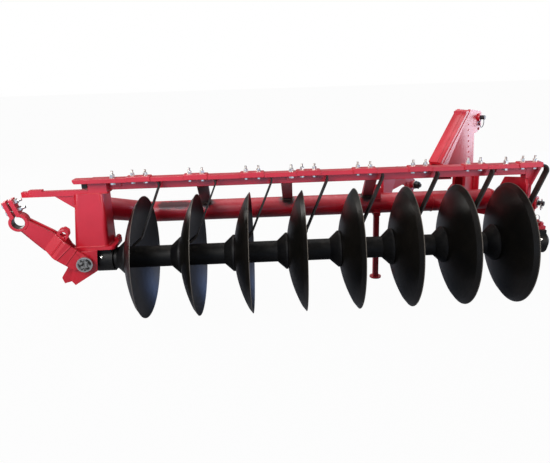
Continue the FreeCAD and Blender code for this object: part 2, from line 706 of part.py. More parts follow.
def stand_leg():
    """The square leg with a round foot on the ground."""
    half, inner = STAND_SIDE / 2, STAND_SIDE / 2 - STAND_WALL
    foot = -DISC_RADIUS + FOOT_THICKNESS
    leg = block(STAND_X - half, STAND_X + half, STAND_Y - half, STAND_Y + half, foot,
                SLEEVE_TOP + STAND_ABOVE)
    leg = leg.cut(block(STAND_X - inner, STAND_X + inner, STAND_Y - inner, STAND_Y + inner, foot,
                        SLEEVE_TOP + STAND_ABOVE + 1))
    plate = rod(FOOT_RADIUS, (STAND_X, STAND_Y, -DISC_RADIUS), (STAND_X, STAND_Y, foot))
    return joined([leg, plate])


# ---- tail wheel arm ------------------------------------------------------------------------
ARM_LENGTH = math.hypot(*RING_AT)
ARM_TILT = -math.degrees(math.atan2(RING_AT[1], RING_AT[0]))
CHEEK_OUTER = CHEEK_GAP / 2 + CHEEK
ARM_INNER = CHEEK_OUTER + PIN_SIDE_GAP
ARM_OUTER = ARM_INNER + ARM_SHEET


def on_tail(shape):
    """Place a piece drawn in the tail bracket's own square directions, from the pivot."""
    shape.rotate(Vector(), Vector(0, 0, 1), TAIL_TOE)
    shape.translate(Vector(*TAIL_PIVOT))
    return shape


def on_arm(shape):
    """Place a piece drawn with +X from the pivot to the ring; the arm's upper side is -Z."""
    shape.rotate(Vector(), Vector(0, 1, 0), ARM_TILT)
    return on_tail(shape)


def tail_bracket():
    """Two cheeks under the tail box that hold the pivot pin of the tail wheel arm."""
    top = HOUSING_DROP - TAIL_PIVOT[2]
    near = [(-34, top), (66, top), (55, -53), (-62, -118), (-84, -85)]
    far = [(-34, top), (20, top), (20, -60), (-62, -118), (-128, -130), (-138, -96)]
    plates = []
    for outline, low in ((near, -CHEEK_OUTER), (far, CHEEK_GAP / 2)):
        plate = plate_xz(outline, low, low + CHEEK)
        bore = rod(TAIL_PIN_RADIUS + HUB_CLEARANCE, (0, low - 1, 0), (0, low + CHEEK + 1, 0))
        plates.append(on_tail(plate.cut(bore)))
    return Part.makeCompound(plates)


def tail_pin():
    """The pivot pin, with a wide round head on the near side and a nut on the far side."""
    near, far = -ARM_OUTER - PIN_SIDE_GAP, ARM_OUTER + PIN_SIDE_GAP
    pin = rod(TAIL_PIN_RADIUS, (0, near - 8, 0), (0, far + 8, 0))
    head = rod(TAIL_HEAD_RADIUS, (0, near - 12, 0), (0, near, 0))
    nut = hexagon(46, (0, far, 0), (0, far + 20, 0))
    return on_tail(joined([pin, head, nut]))


def arm_plate(side):
    """One side plate of the arm: outside the cheeks at the pivot, cranked in to the ring."""
    inner = RING_WIDTH / 2 - ARM_SHEET
    wide, narrow = 132.0, 205.0
    end = ARM_LENGTH
    crank = [Vector(-60, side * ARM_INNER, 0), Vector(-60, side * ARM_OUTER, 0),
             Vector(wide + 6, side * ARM_OUTER, 0), Vector(narrow, side * RING_WIDTH / 2, 0),
             Vector(end, side * RING_WIDTH / 2, 0), Vector(end, side * inner, 0),
             Vector(narrow - 6, side * inner, 0), Vector(wide, side * ARM_INNER, 0)]
    sheet = face_of(crank).extrude(Vector(0, 0, 200)).translated(Vector(0, 0, -100))
    low = 0.0 if side < 0 else 22.0
    outline = [(0, -38), ((-38, 0), (0, 38)), (24, 58 + low), (150, 60 + low), (260, 42 + low),
               (end, 20 + low), (end, -32), (219, -46)]
    outline += [(110, -42)] if side < 0 else [(150, -44), (104, -20), (62, -12), (30, -38)]
    plate = sheet.common(plate_xz(outline, -120, 120))
    bore = rod(TAIL_PIN_RADIUS + RUNNING_CLEARANCE, (0, -120, 0), (0, 120, 0))
    ring = rod(RING_OUTER + HUB_CLEARANCE, (end, -120, 0), (end, 120, 0))
    return on_arm(plate.cut(bore).cut(ring))


def tail_ring():
    """The split clamp ring for the tail wheel's stem, with two ears beyond it."""
    end, half = ARM_LENGTH, RING_WIDTH / 2
    barrel = rod(RING_OUTER, (end, -half, 0), (end, half, 0))
    ear = EAR_THICKNESS + EAR_SLOT / 2
    ears = block(end, end + EAR_REACH, -half, half, -ear, ear)
    slot = block(end, end + EAR_REACH + 1, -half - 1, half + 1, -EAR_SLOT / 2, EAR_SLOT / 2)
    body = joined([barrel, ears]).cut(slot)
    body = body.cut(rod(RING_BORE, (end, -half - 1, 0), (end, half + 1, 0)))
    for x in clamp_bolt_places():
        body = body.cut(rod(CLAMP_BOLT_RADIUS + HUB_CLEARANCE, (x, 0, -ear - 1), (x, 0, ear + 1)))
    return on_arm(on_ears(body))


def on_ears(shape):
    """Turn a piece drawn along the arm about the ring, to the way its ears point."""
    shape.rotate(Vector(ARM_LENGTH, 0, 0), Vector(0, 1, 0), EAR_TURN)
    return shape


def clamp_bolt_places():
    """Where the two clamp bolts cross the ears, from the pivot along the arm."""
    return [ARM_LENGTH + RING_OUTER + 14, ARM_LENGTH + EAR_REACH - 20]


def clamp_bolts():
    """The two bolts across the ears, their nuts on the upper side."""
    ear = EAR_THICKNESS + EAR_SLOT / 2
    bolts = []
    for x in clamp_bolt_places():
        shank = rod(CLAMP_BOLT_RADIUS, (x, 0, -ear - 34), (x, 0, ear + 6))
        head = hexagon(24, (x, 0, ear + SEAT_CLEARANCE), (x, 0, ear + 10))
        nut = hexagon(24, (x, 0, -ear - 14), (x, 0, -ear - SEAT_CLEARANCE))
        bolts.append(on_arm(on_ears(joined([shank, head, nut]))))
    return Part.makeCompound(bolts)


def arm_lug():
    """The two lug plates on the arm's upper side that take the adjusting screw."""
    x, z, reach = 171.0, -64.0, 27.0
    outline = [(x - 30, -34), (x - 28, z - 8), (x - 12, z - reach), (x + 12, z - reach),
               (x + 28, z - 8), (x + 30, -34)]
    lugs = []
    for side in (-1, 1):
        low = 18.0 if side > 0 else -30.0
        lug = plate_xz(outline, low, low + 12)
        lug = lug.cut(rod(LUG_BORE, (x, low - 1, z), (x, low + 13, z)))
        lugs.append(on_arm(lug).cut(arm_plate(side)))
    return Part.makeCompound([lug.Solids[0] for lug in lugs])


def arm_spacer():
    """The cross plate between the two sides of the arm, behind the cheeks' reach."""
    inner = RING_WIDTH / 2 - ARM_SHEET
    return on_arm(block(228, 244, -inner, inner, -34, 38))


def strut_bar():
    """The square bar from the box's top towards the tail, with its pad and gusset."""
    half = 14.0
    y = -50.0
    low = BOX_TOP - 9
    top = low + 2 * half
    bar = block(STRUT_BAR_END, TOP_BLOCK_START, y - half, y + half, low, top)
    pad = block(-545, -478, y - half, y + half, top, top + 8)
    gusset = plate_xz([(-420, low), (BOX_X, low), (BOX_X, 296), (BOX_X - BOX_WIDTH / 2, 296)],
                      y - 6, y + 6)
    return joined([bar, pad, gusset]).cut(box_solid())


# ---- write ---------------------------------------------------------------------------------
def nodes():
    """Every node's shape by name."""
    shapes = {
        "main_beam": main_beam(), "beam_elbow": beam_elbow(), "tail_box": tail_box(),
        "tail_base_plate": tail_base_plate(), "top_block": top_block(),
        "top_beam": top_beam(), "beam_struts": beam_struts(), "front_end_plate": front_end_plate(),
        "front_post": front_post(), "front_base_plate": front_base_plate(),
        "strut_bar": strut_bar(), "tail_bracket": tail_bracket(), "tail_pin": tail_pin(),
        "arm_plate_near": arm_plate(-1), "arm_plate_far": arm_plate(1),
        "tail_ring": tail_ring(), "clamp_bolts": clamp_bolts(), "arm_lug": arm_lug(),
        "arm_spacer": arm_spacer(),
        "rear_bearing": bearing(REAR_HOUSING_START, REAR_HOUSING_END, -HOUSING_CAP),
        "front_bearing": bearing(FRONT_HOUSING_START, FRONT_HOUSING_END, FRONT_HOUSING_CAP),
        "gang_shaft": gang_shaft(), "spools": spools(),
        "scraper_bar": scraper_bar(), "scraper_caps": scraper_caps(),
        "bar_clamps": bar_clamps(), "mast_plates": mast_plates(),
        "mast_front_plate": mast_front_plate(), "mast_stay": mast_stay(),
        "mast_foot": mast_foot(), "cross_beam": cross_beam(), "far_arm": far_arm(),
        "near_arm": near_arm(), "pin_bosses": pin_bosses(), "link_pins": link_pins(),
        "top_pin": top_pin(), "stand_sleeve": stand_sleeve(), "stand_leg": stand_leg(),
    }
    for number in range(1, DISC_COUNT + 1):
        shapes["disc_%d" % number] = disc(rim(number))
        shapes["scraper_%d" % number] = scraper(number)
    return shapes


os.makedirs("parts", exist_ok=True)
everything = nodes()
box = FreeCAD.BoundBox()
for shape in everything.values():
    box.add(shape.optimalBoundingBox(False, False))
shift = Vector(-box.Center.x, -box.Center.y, -box.ZMin)
for name, shape in everything.items():
    shape.translated(shift).exportStep("parts/%s.step" % name)
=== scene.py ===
"""Looks of a mounted disc plough with eight dished discs on one gang.

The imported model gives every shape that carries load. This script adds paint, welds, bolts and
small fittings, then a floor, lights and a camera.
"""
import math

import bpy
from mathutils import Matrix, Vector


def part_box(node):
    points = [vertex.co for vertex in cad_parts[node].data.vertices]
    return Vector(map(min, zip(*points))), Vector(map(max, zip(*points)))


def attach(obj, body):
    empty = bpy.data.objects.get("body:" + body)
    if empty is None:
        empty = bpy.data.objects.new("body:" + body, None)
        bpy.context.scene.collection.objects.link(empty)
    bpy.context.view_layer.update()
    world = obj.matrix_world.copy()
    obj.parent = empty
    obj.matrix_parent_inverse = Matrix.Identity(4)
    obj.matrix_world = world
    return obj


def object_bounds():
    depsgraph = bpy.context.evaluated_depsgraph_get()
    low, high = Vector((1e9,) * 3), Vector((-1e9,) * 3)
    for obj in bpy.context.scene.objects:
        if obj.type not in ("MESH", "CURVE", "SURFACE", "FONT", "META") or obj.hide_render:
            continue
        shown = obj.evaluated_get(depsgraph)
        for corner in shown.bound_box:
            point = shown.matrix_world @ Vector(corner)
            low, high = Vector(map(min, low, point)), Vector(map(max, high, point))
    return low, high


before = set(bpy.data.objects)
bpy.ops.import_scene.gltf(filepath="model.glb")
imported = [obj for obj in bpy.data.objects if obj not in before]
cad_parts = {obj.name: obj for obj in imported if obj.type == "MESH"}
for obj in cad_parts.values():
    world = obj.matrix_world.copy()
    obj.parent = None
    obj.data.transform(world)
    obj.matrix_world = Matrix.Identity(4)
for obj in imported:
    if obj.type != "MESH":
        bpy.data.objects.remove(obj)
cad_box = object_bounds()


# ---------------------------------------------------------------- red welded frame
# Pipe, box sections and flame-cut plates of structural steel, welded and then sprayed with one
# thick coat of gloss red enamel. The spray leaves a fine ripple and slightly uneven shade.

RED = (0.52, 0.006, 0.020, 1.0)
RED_DEEP = (0.40, 0.003, 0.011, 1.0)
RED_DUST = (0.60, 0.16, 0.17, 1.0)
ENAMEL_GLOSS = (0.80, 0.86, 1.0, 1.0)
THIN_NODES = ("scraper_bar", "scraper_caps", "bar_clamps", "mast_stay", "stand_leg")
PLATE_NODES = (
    "beam_elbow", "tail_box", "tail_base_plate", "top_block", "top_beam", "front_end_plate",
    "front_post", "front_base_plate", "strut_bar", "tail_bracket", "mast_plates",
    "mast_front_plate", "mast_foot", "cross_beam", "far_arm", "near_arm", "pin_bosses",
    "stand_sleeve", "arm_plate_near", "arm_plate_far", "tail_ring", "arm_lug", "arm_spacer",
)
THIN_EDGE = 0.002
PLATE_EDGE = 0.003
EDGE_ANGLE = math.radians(35.0)
SAME_PLACE = 0.00002


def add(tree, kind, inputs=None, **options):
    """A new node in a tree, with its options set and its inputs set or linked."""
    made = tree.nodes.new(kind)
    for name, value in options.items():
        setattr(made, name, value)
    for key, value in (inputs or {}).items():
        if isinstance(value, bpy.types.NodeSocket):
            tree.links.new(value, made.inputs[key])
        else:
            made.inputs[key].default_value = value
    return made


def math_node(tree, operation, first, second=0.0, clamp=False):
    """The output of one Math node."""
    made = add(tree, "ShaderNodeMath", {0: first, 1: second}, operation=operation, use_clamp=clamp)
    return made.outputs[0]


def vector_math(tree, operation, first, second=(0.0, 0.0, 0.0)):
    """The output of one Vector Math node: a number for a length, a distance or a dot product."""
    made = add(tree, "ShaderNodeVectorMath", {0: first, 1: second}, operation=operation)
    number = operation in ("DISTANCE", "DOT_PRODUCT", "LENGTH")
    return made.outputs["Value" if number else "Vector"]


def ramp(tree, value, start, end, low=0.0, high=1.0, **options):
    """A value's way from start to end, read as one from low to high and held at both."""
    made = add(tree, "ShaderNodeMapRange",
               {"Value": value, "From Min": start, "From Max": end, "To Min": low,
                "To Max": high}, **options)
    return made.outputs["Result"]


def noise(tree, place, scale, detail, roughness=0.5):
    """The value of a noise at a place."""
    made = add(tree, "ShaderNodeTexNoise",
               {"Vector": place, "Scale": scale, "Detail": detail, "Roughness": roughness})
    return made.outputs["Fac"]


def object_place(tree):
    """The place of a point of the surface in the whole plough."""
    return add(tree, "ShaderNodeTexCoord").outputs["Object"]


def new_group(name, kind, inputs, outputs):
    """A node group with its named sockets, and the values that come in."""
    tree = bpy.data.node_groups.new(name, kind)
    for label, socket, value in inputs:
        made = tree.interface.new_socket(label, in_out="INPUT",
                                         socket_type="NodeSocket" + socket)
        if value is not None:
            made.default_value = value
    for label, socket in outputs:
        tree.interface.new_socket(label, in_out="OUTPUT", socket_type="NodeSocket" + socket)
    return tree, tree.nodes.new("NodeGroupInput").outputs


def closed_group(tree, **outputs):
    """The group, once its outputs are linked by name."""
    result = tree.nodes.new("NodeGroupOutput")
    for label, value in outputs.items():
        tree.links.new(value, result.inputs[label])
    return tree


def sprayed_coat_group():
    """Ripple of a sprayed coat as a height, and its cloudy shade from 0 to 1."""
    tree, size = new_group("sprayed_coat", "ShaderNodeTree",
                           [("Ripple Scale", "Float", 180.0), ("Cloud Scale", "Float", 4.0)],
                           [("Height", "Float"), ("Cloud", "Float")])
    place = object_place(tree)
    ripple = noise(tree, place, size["Ripple Scale"], detail=2.0)
    cloud = noise(tree, place, size["Cloud Scale"], detail=4.0, roughness=0.6)
    return closed_group(tree, Height=ripple, Cloud=ramp(tree, cloud, start=0.35, end=0.68))


def settled_dust_group():
    """Mask of the thin dust that lies on faces that look upwards."""
    tree, size = new_group("settled_dust", "ShaderNodeTree",
                           [("Amount", "Float", 0.3), ("Patch Scale", "Float", 14.0)],
                           [("Mask", "Float")])
    normal = add(tree, "ShaderNodeNewGeometry").outputs["Normal"]
    facing = add(tree, "ShaderNodeSeparateXYZ", {"Vector": normal})
    upward = ramp(tree, facing.outputs["Z"], start=0.45, end=0.95)
    patches = noise(tree, object_place(tree), size["Patch Scale"], detail=6.0, roughness=0.7)
    both = math_node(tree, "MULTIPLY", upward, ramp(tree, patches, start=0.42, end=0.66))
    return closed_group(tree, Mask=math_node(tree, "MULTIPLY", both, size["Amount"], clamp=True))


def scorch_and_shade_spot_group():
    """Mask of one round place with a ragged edge, for scorch round a weld and for painted shade.
    """
    tree, size = new_group("scorch_and_shade_spot", "ShaderNodeTree",
                           [("Centre", "Vector", None), ("Radius", "Float", 0.05)],
                           [("Mask", "Float")])
    place = object_place(tree)
    away = vector_math(tree, "DISTANCE", place, size["Centre"])
    ragged = noise(tree, place, scale=70.0, detail=5.0)
    reach = math_node(tree, "ADD", away, math_node(tree, "MULTIPLY", ragged, size["Radius"]))
    share = math_node(tree, "DIVIDE", reach, size["Radius"])
    return closed_group(tree, Mask=ramp(tree, share, start=1.1, end=1.6, low=1.0, high=0.0))


SPRAYED_COAT = sprayed_coat_group()
SETTLED_DUST = settled_dust_group()
SCORCH_AND_SHADE_SPOT = scorch_and_shade_spot_group()


def plain_material(name, roughness, **shader_values):
    """A new material with a Principled BSDF, and its constants set on its own sockets."""
    material = bpy.data.materials.new(name)
    material.use_nodes = True
    shader = material.node_tree.nodes["Principled BSDF"]
    shader.inputs["Roughness"].default_value = roughness
    for socket, value in shader_values.items():
        shader.inputs[socket.replace("_", " ")].default_value = value
    return material, material.node_tree, shader


def insides(material):
    """A material's node tree and its Principled BSDF."""
    return material.node_tree, material.node_tree.nodes["Principled BSDF"]


def mixed(tree, factor, first, second):
    """The colour between two others."""
    return add(tree, "ShaderNodeMix", {0: factor, 6: first, 7: second},
               data_type="RGBA").outputs[2]


def painted_over(tree, shader, mask, colour):
    """Lays a colour over the shader's own where the mask is 1."""
    base = shader.inputs["Base Color"]
    tree.links.new(mixed(tree, mask, base.links[0].from_socket, colour), base)


def bumped(tree, shader, height, strength, distance):
    """Feeds a height into the shader's normal."""
    bump = add(tree, "ShaderNodeBump",
               {"Height": height, "Strength": strength, "Distance": distance})
    tree.links.new(bump.outputs["Normal"], shader.inputs["Normal"])


def group_node(tree, group, **values):
    """A shared effect placed in a material with its own values."""
    made = add(tree, "ShaderNodeGroup", node_tree=group)
    for name, value in values.items():
        made.inputs[name.replace("_", " ")].default_value = value
    return made.outputs


def dusted(tree, shader, amount, patches, colour):
    """Lets dust settle on a shader's upward faces."""
    dust = group_node(tree, SETTLED_DUST, Amount=amount, Patch_Scale=patches)
    painted_over(tree, shader, dust["Mask"], colour)


def sprayed(name, roughness, ripple, cloud, colours, strength, distance, **shader_values):
    """A finish whose colour clouds between two over a rippled coat."""
    material, tree, shader = plain_material(name, roughness, **shader_values)
    coat = group_node(tree, SPRAYED_COAT, Ripple_Scale=ripple, Cloud_Scale=cloud)
    tree.links.new(mixed(tree, coat["Cloud"], *colours), shader.inputs["Base Color"])
    bumped(tree, shader, coat["Height"], strength, distance)
    return material


def red_enamel(name, scorch_and_shade=()):
    """Gloss red enamel, darkened at the given places, which hold both scorch round welds and
    painted shade.
    """
    material = sprayed(name, roughness=0.42, ripple=150.0, cloud=3.0, colours=(RED_DEEP, RED),
                       strength=0.25, distance=0.0006, Specular_IOR_Level=0.5,
                       Specular_Tint=ENAMEL_GLOSS, Coat_Weight=0.5, Coat_Roughness=0.24)
    tree, shader = insides(material)
    dusted(tree, shader, amount=0.32, patches=18.0, colour=RED_DUST)
    for centre, radius, dark_colour in scorch_and_shade:
        spot = group_node(tree, SCORCH_AND_SHADE_SPOT, Centre=centre, Radius=radius)
        painted_over(tree, shader, spot["Mask"], dark_colour)
    return material


def coat_nodes(names, material):
    """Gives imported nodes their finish."""
    for name in names:
        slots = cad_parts[name].data.materials
        slots.clear()
        slots.append(material)


def soften(name, width):
    """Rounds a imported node's sharp edges a little, as cut and painted steel is."""
    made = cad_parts[name]
    weld = made.modifiers.new("merge", "WELD")
    weld.merge_threshold = SAME_PLACE
    bevel = made.modifiers.new("edge", "BEVEL")
    bevel.width = width
    bevel.segments = 2
    bevel.limit_method = "ANGLE"
    bevel.angle_limit = EDGE_ANGLE
    bevel.harden_normals = True


red = red_enamel("red_enamel")
coat_nodes(THIN_NODES + PLATE_NODES, red)
for name in THIN_NODES:
    soften(name, THIN_EDGE)
for name in PLATE_NODES:
    soften(name, PLATE_EDGE)


# ---------------------------------------------------------------- pipe beam and struts
# The heavy pipe carries everything, with flat struts welded to its top. The paint is scorched
# and dull round the struts' feet and where the pipe meets the elbow. The first strut carries
# painted shade: it is painted almost black over most of its length.

MM = 0.001
tail_disc_low, tail_disc_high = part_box("disc_1")
GANG_CENTRE = Vector((tail_disc_high[0], (tail_disc_low[1] + tail_disc_high[1]) / 2,
                      (tail_disc_low[2] + tail_disc_high[2]) / 2))


def at(x, y, z):
    """A place given in millimetres along the gang, behind it and above it."""
    return GANG_CENTRE + Vector((x, y, z)) * MM


pipe_low, pipe_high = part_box("main_beam")
PIPE_RADIUS = (pipe_high[2] - pipe_low[2]) / 2
PIPE_Y = (pipe_low[1] + pipe_high[1]) / 2
PIPE_Z = (pipe_low[2] + pipe_high[2]) / 2
STRUT_HEADS = (331.0, 776.0, 1231.0)
STRUT_FEET = (295.0, 790.0, 1274.0)
FOOT_FORWARD = 0.03
FOOT_SPOT = 0.055
ELBOW_RUN = (40.0, 62.0, 84.0, 106.0, 128.0, 150.0, 170.0)
ELBOW_FORWARD = 0.045
ELBOW_LIFT = 0.93
ELBOW_SPOT = 0.038
STRUT_SPOT = 0.06
# Painted shade: a broad, almost black patch laid over the first strut.
SHADED_STRUT = at(315, 230, 330)
SHADED_SPOT = 0.30
SCORCH_GREY = (0.020, 0.009, 0.008, 1.0)
SCORCH_RED = (0.060, 0.004, 0.004, 1.0)
STRUT_PAINTED_SHADE = (0.030, 0.003, 0.003, 1.0)
strut_feet = [Vector((at(x, 0, 0).x, PIPE_Y - FOOT_FORWARD, PIPE_Z + PIPE_RADIUS))
              for x in STRUT_FEET]
elbow_run = [Vector((at(x, 0, 0).x, PIPE_Y - ELBOW_FORWARD, PIPE_Z + PIPE_RADIUS * ELBOW_LIFT))
             for x in ELBOW_RUN]
coat_nodes(["main_beam"], red_enamel("red_enamel_pipe",
                                     [(foot, FOOT_SPOT, SCORCH_GREY) for foot in strut_feet]
                                     + [(spot, ELBOW_SPOT, SCORCH_RED) for spot in elbow_run]))
# The struts' paint: painted shade over the first strut, and scorch at the feet of the others.
coat_nodes(["beam_struts"], red_enamel("red_enamel_struts",
                                       [(SHADED_STRUT, SHADED_SPOT, STRUT_PAINTED_SHADE)]
                                       + [(foot, STRUT_SPOT, SCORCH_GREY)
                                          for foot in strut_feet[1:]]))


# ---------------------------------------------------------------- creased plates
# The tail arm's flame-cut plates are pressed to a joggle between creases, and the mast's stay is
# folded along its middle. They are sprayed with the frame, and the creases catch the light.

CREASE_WIDTH = 0.0055
CREASE_HEIGHT = 0.0035
ARM_FACE_Y = -130.0
ARM_CREASES = (((-380, 153), (-431, 95)), ((-342, 121), (-400, 69)), ((-317, 99), (-365, 40)))
STAY_FOLD = -14.0
HITCH_MIDDLE = (1975.0, 535.0)
HITCH_TURN = Matrix.Rotation(math.radians(45.0), 3, "Z")


def hitch(forward, across, z):
    """A place in millimetres forward of the link pins, across the hitch and above the gang."""
    return at(*HITCH_MIDDLE, z) + HITCH_TURN @ Vector((forward, across, 0.0)) * MM


FORWARD = (hitch(1, 0, 0) - hitch(0, 0, 0)).normalized()
ACROSS = (hitch(0, 1, 0) - hitch(0, 0, 0)).normalized()


def pressed_line_group():
    """Height of one rounded ridge along a line, given a place on it and the way square to it."""
    tree, size = new_group("pressed_line", "ShaderNodeTree",
                           [("Start", "Vector", None), ("Way", "Vector", None),
                            ("Width", "Float", 0.006)], [("Height", "Float")])
    local = vector_math(tree, "SUBTRACT", object_place(tree), size["Start"])
    off = vector_math(tree, "DOT_PRODUCT", local, size["Way"])
    near = math_node(tree, "DIVIDE", math_node(tree, "ABSOLUTE", off), size["Width"])
    return closed_group(tree, Height=ramp(tree, near, start=0.0, end=1.0, low=1.0, high=0.0,
                                          interpolation_type="SMOOTHSTEP"))


PRESSED_LINE = pressed_line_group()


def creased_paint(name, creases):
    """Red enamel over plate with pressed creases, each a place and the way square to it."""
    material = red_enamel(name)
    tree, shader = insides(material)
    coat_bump = shader.inputs["Normal"].links[0].from_node
    height = 0.0
    for start, square in creases:
        ridge = group_node(tree, PRESSED_LINE, Start=start, Way=square, Width=CREASE_WIDTH)
        height = math_node(tree, "ADD", ridge["Height"], height)
    crease = add(tree, "ShaderNodeBump",
                 {"Height": height, "Strength": 1.0, "Distance": CREASE_HEIGHT,
                  "Normal": coat_bump.outputs["Normal"]})
    tree.links.new(crease.outputs["Normal"], shader.inputs["Normal"])
    return material


def plate_crease(start, end):
    """A crease across the arm's plates, from one (x, z) to another."""
    start, end = (at(x, ARM_FACE_Y, z) for x, z in (start, end))
    way = (end - start).normalized()
    return start, Vector((way.z, 0.0, -way.x))


coat_nodes(["arm_plate_near", "arm_plate_far"],
           creased_paint("red_enamel_arm", [plate_crease(*ends) for ends in ARM_CREASES]))
coat_nodes(["mast_stay"],
           creased_paint("red_enamel_stay", [(hitch(0.0, STAY_FOLD, 0.0), ACROSS)]))


# ---------------------------------------------------------------- tail wheel clamp
# A thick ring, bored right through after welding and split, so that it can grip the stem of the
# tail wheel. Its bore is painted dark brown.

TAIL_PIVOT = at(-304.0, -57.0, 16.0)
TAIL_TOE = Matrix.Rotation(math.radians(12.0), 3, "Z")
RING_CENTRE = TAIL_PIVOT + TAIL_TOE @ Vector((-0.288, 0.0, 0.243))
RING_AXIS = TAIL_TOE @ Vector((0.0, 1.0, 0.0))
RING_BORE_RADIUS = 0.030
DARK_WITHIN = 0.0010
PAINT_BEYOND = 0.0022
BORE_DARK_BROWN = (0.030, 0.012, 0.006, 1.0)


def dark_bore_paint():
    """Red enamel with a dark brown bore."""
    material = red_enamel("red_enamel_ring")
    tree, shader = insides(material)
    local = vector_math(tree, "SUBTRACT", object_place(tree), RING_CENTRE)
    away = vector_math(tree, "LENGTH", vector_math(tree, "CROSS_PRODUCT", local, RING_AXIS))
    painted_over(tree, shader, ramp(tree, away, start=RING_BORE_RADIUS + PAINT_BEYOND,
                                    end=RING_BORE_RADIUS + DARK_WITHIN), BORE_DARK_BROWN)
    return material


coat_nodes(["tail_ring"], dark_bore_paint())


# ---------------------------------------------------------------- discs
# Each disc is pressed from boron steel plate, ground to an edge on its round back, and dipped in
# near-black paint. Pressing and grinding leave faint rings, and the ground edge shows paler.

DISCS = 8
DISC_BLACK = (0.0022, 0.0020, 0.0017, 1.0)
DISC_BROWN = (0.0056, 0.0046, 0.0036, 1.0)
DISC_DUST = (0.06, 0.05, 0.04, 1.0)
DISC_EDGE = (0.12, 0.105, 0.09, 1.0)
DISC_RADIUS = (tail_disc_high[2] - tail_disc_low[2]) / 2
EDGE_WIDTH = 0.0035
EDGE_FULL = 0.0005
EDGE_SHARE = 0.85
RIPPLE_SHARE = 0.5


def pressed_rings_group():
    """Distance from the gang's axis, and the height of faint rings round it."""
    tree, size = new_group("pressed_rings", "ShaderNodeTree",
                           [("Axis Place", "Vector", None), ("Ring Spacing", "Float", 0.006)],
                           [("Distance", "Float"), ("Height", "Float")])
    local = vector_math(tree, "SUBTRACT", object_place(tree), size["Axis Place"])
    distance = vector_math(tree, "LENGTH",
                           vector_math(tree, "MULTIPLY", local, (0.0, 1.0, 1.0)))
    rings = math_node(tree, "DIVIDE", distance, size["Ring Spacing"])
    uneven = add(tree, "ShaderNodeTexNoise", {"W": rings, "Scale": 1.0, "Detail": 3.0},
                 noise_dimensions="1D")
    return closed_group(tree, Distance=distance, Height=uneven.outputs["Fac"])


PRESSED_RINGS = pressed_rings_group()


def disc_paint():
    """Near-black dip paint over pressed plate, paler on the ground edge."""
    material, tree, shader = plain_material("disc_black", roughness=0.34,
                                            Specular_IOR_Level=0.32)
    rings = group_node(tree, PRESSED_RINGS, Axis_Place=GANG_CENTRE, Ring_Spacing=0.007)
    coat = group_node(tree, SPRAYED_COAT, Ripple_Scale=220.0, Cloud_Scale=5.0)
    tree.links.new(mixed(tree, coat["Cloud"], DISC_BLACK, DISC_BROWN),
                   shader.inputs["Base Color"])
    dusted(tree, shader, amount=0.35, patches=10.0, colour=DISC_DUST)
    painted_over(tree, shader, ramp(tree, rings["Distance"], start=DISC_RADIUS - EDGE_WIDTH,
                                    end=DISC_RADIUS - EDGE_FULL, high=EDGE_SHARE), DISC_EDGE)
    ripple = math_node(tree, "MULTIPLY", coat["Height"], RIPPLE_SHARE)
    bumped(tree, shader, math_node(tree, "ADD", rings["Height"], ripple), strength=0.22,
           distance=0.0006)
    return material


coat_nodes(["disc_%d" % number for number in range(1, DISCS + 1)], disc_paint())


# ---------------------------------------------------------------- spools and bearings
# Flared spools between the discs and the two bearing housings are iron castings, left with
# their sand texture and sprayed satin black together with the shaft.

CASTING_BLACK = (0.0028, 0.0028, 0.0034, 1.0)
CASTING_GREY = (0.0080, 0.0078, 0.0076, 1.0)
CASTING_DUST = (0.07, 0.06, 0.05, 1.0)
casting_black = sprayed("casting_black", roughness=0.5, ripple=420.0, cloud=16.0,
                        colours=(CASTING_BLACK, CASTING_GREY), strength=0.5, distance=0.0008,
                        Specular_IOR_Level=0.18)
dusted(*insides(casting_black), amount=0.4, patches=22.0, colour=CASTING_DUST)
coat_nodes(["spools", "rear_bearing", "front_bearing", "gang_shaft"], casting_black)


# ---------------------------------------------------------------- scrapers
# One bent flat bar for each disc, with a broad blade at its end, bolted under the bar and
# painted the same black as the discs.

SCRAPER_BLACK = (0.009, 0.008, 0.007, 1.0)
SCRAPER_BROWN = (0.022, 0.018, 0.015, 1.0)
scraper_black = sprayed("scraper_black", roughness=0.42, ripple=260.0, cloud=12.0,
                        colours=(SCRAPER_BLACK, SCRAPER_BROWN), strength=0.3,
                        distance=0.0006, Specular_IOR_Level=0.25)
coat_nodes(["scraper_%d" % number for number in range(1, DISCS + 1)], scraper_black)


# ---------------------------------------------------------------- pins
# Turned steel pins: the blackened link pins and top pin, and the zinc-plated tail pin and clamp
# bolts. Plating is bright with a fine grain.

ZINC = (0.44, 0.43, 0.40, 1.0)
ZINC_BRIGHT = (0.68, 0.67, 0.63, 1.0)
OILED_BLACK = (0.02, 0.02, 0.024, 1.0)
OILED_GREY = (0.05, 0.05, 0.055, 1.0)
SAWN_DARK = (0.030, 0.026, 0.022, 1.0)
SAWN_BRIGHT = (0.42, 0.40, 0.36, 1.0)
TAIL_PIN_END = at(-287.9, -132.8, 16.0)
TAIL_PIN_HEAD = 0.038
RIM_INSIDE = 0.94
CORE_OUTSIDE = 0.86
zinc = sprayed("zinc_plate", roughness=0.3, ripple=600.0, cloud=120.0,
               colours=(ZINC, ZINC_BRIGHT), strength=0.25, distance=0.0004, Metallic=1.0)
black_steel = sprayed("blackened_steel", roughness=0.35, ripple=500.0, cloud=60.0,
                      colours=(OILED_BLACK, OILED_GREY), strength=0.2, distance=0.0004,
                      Metallic=0.6)


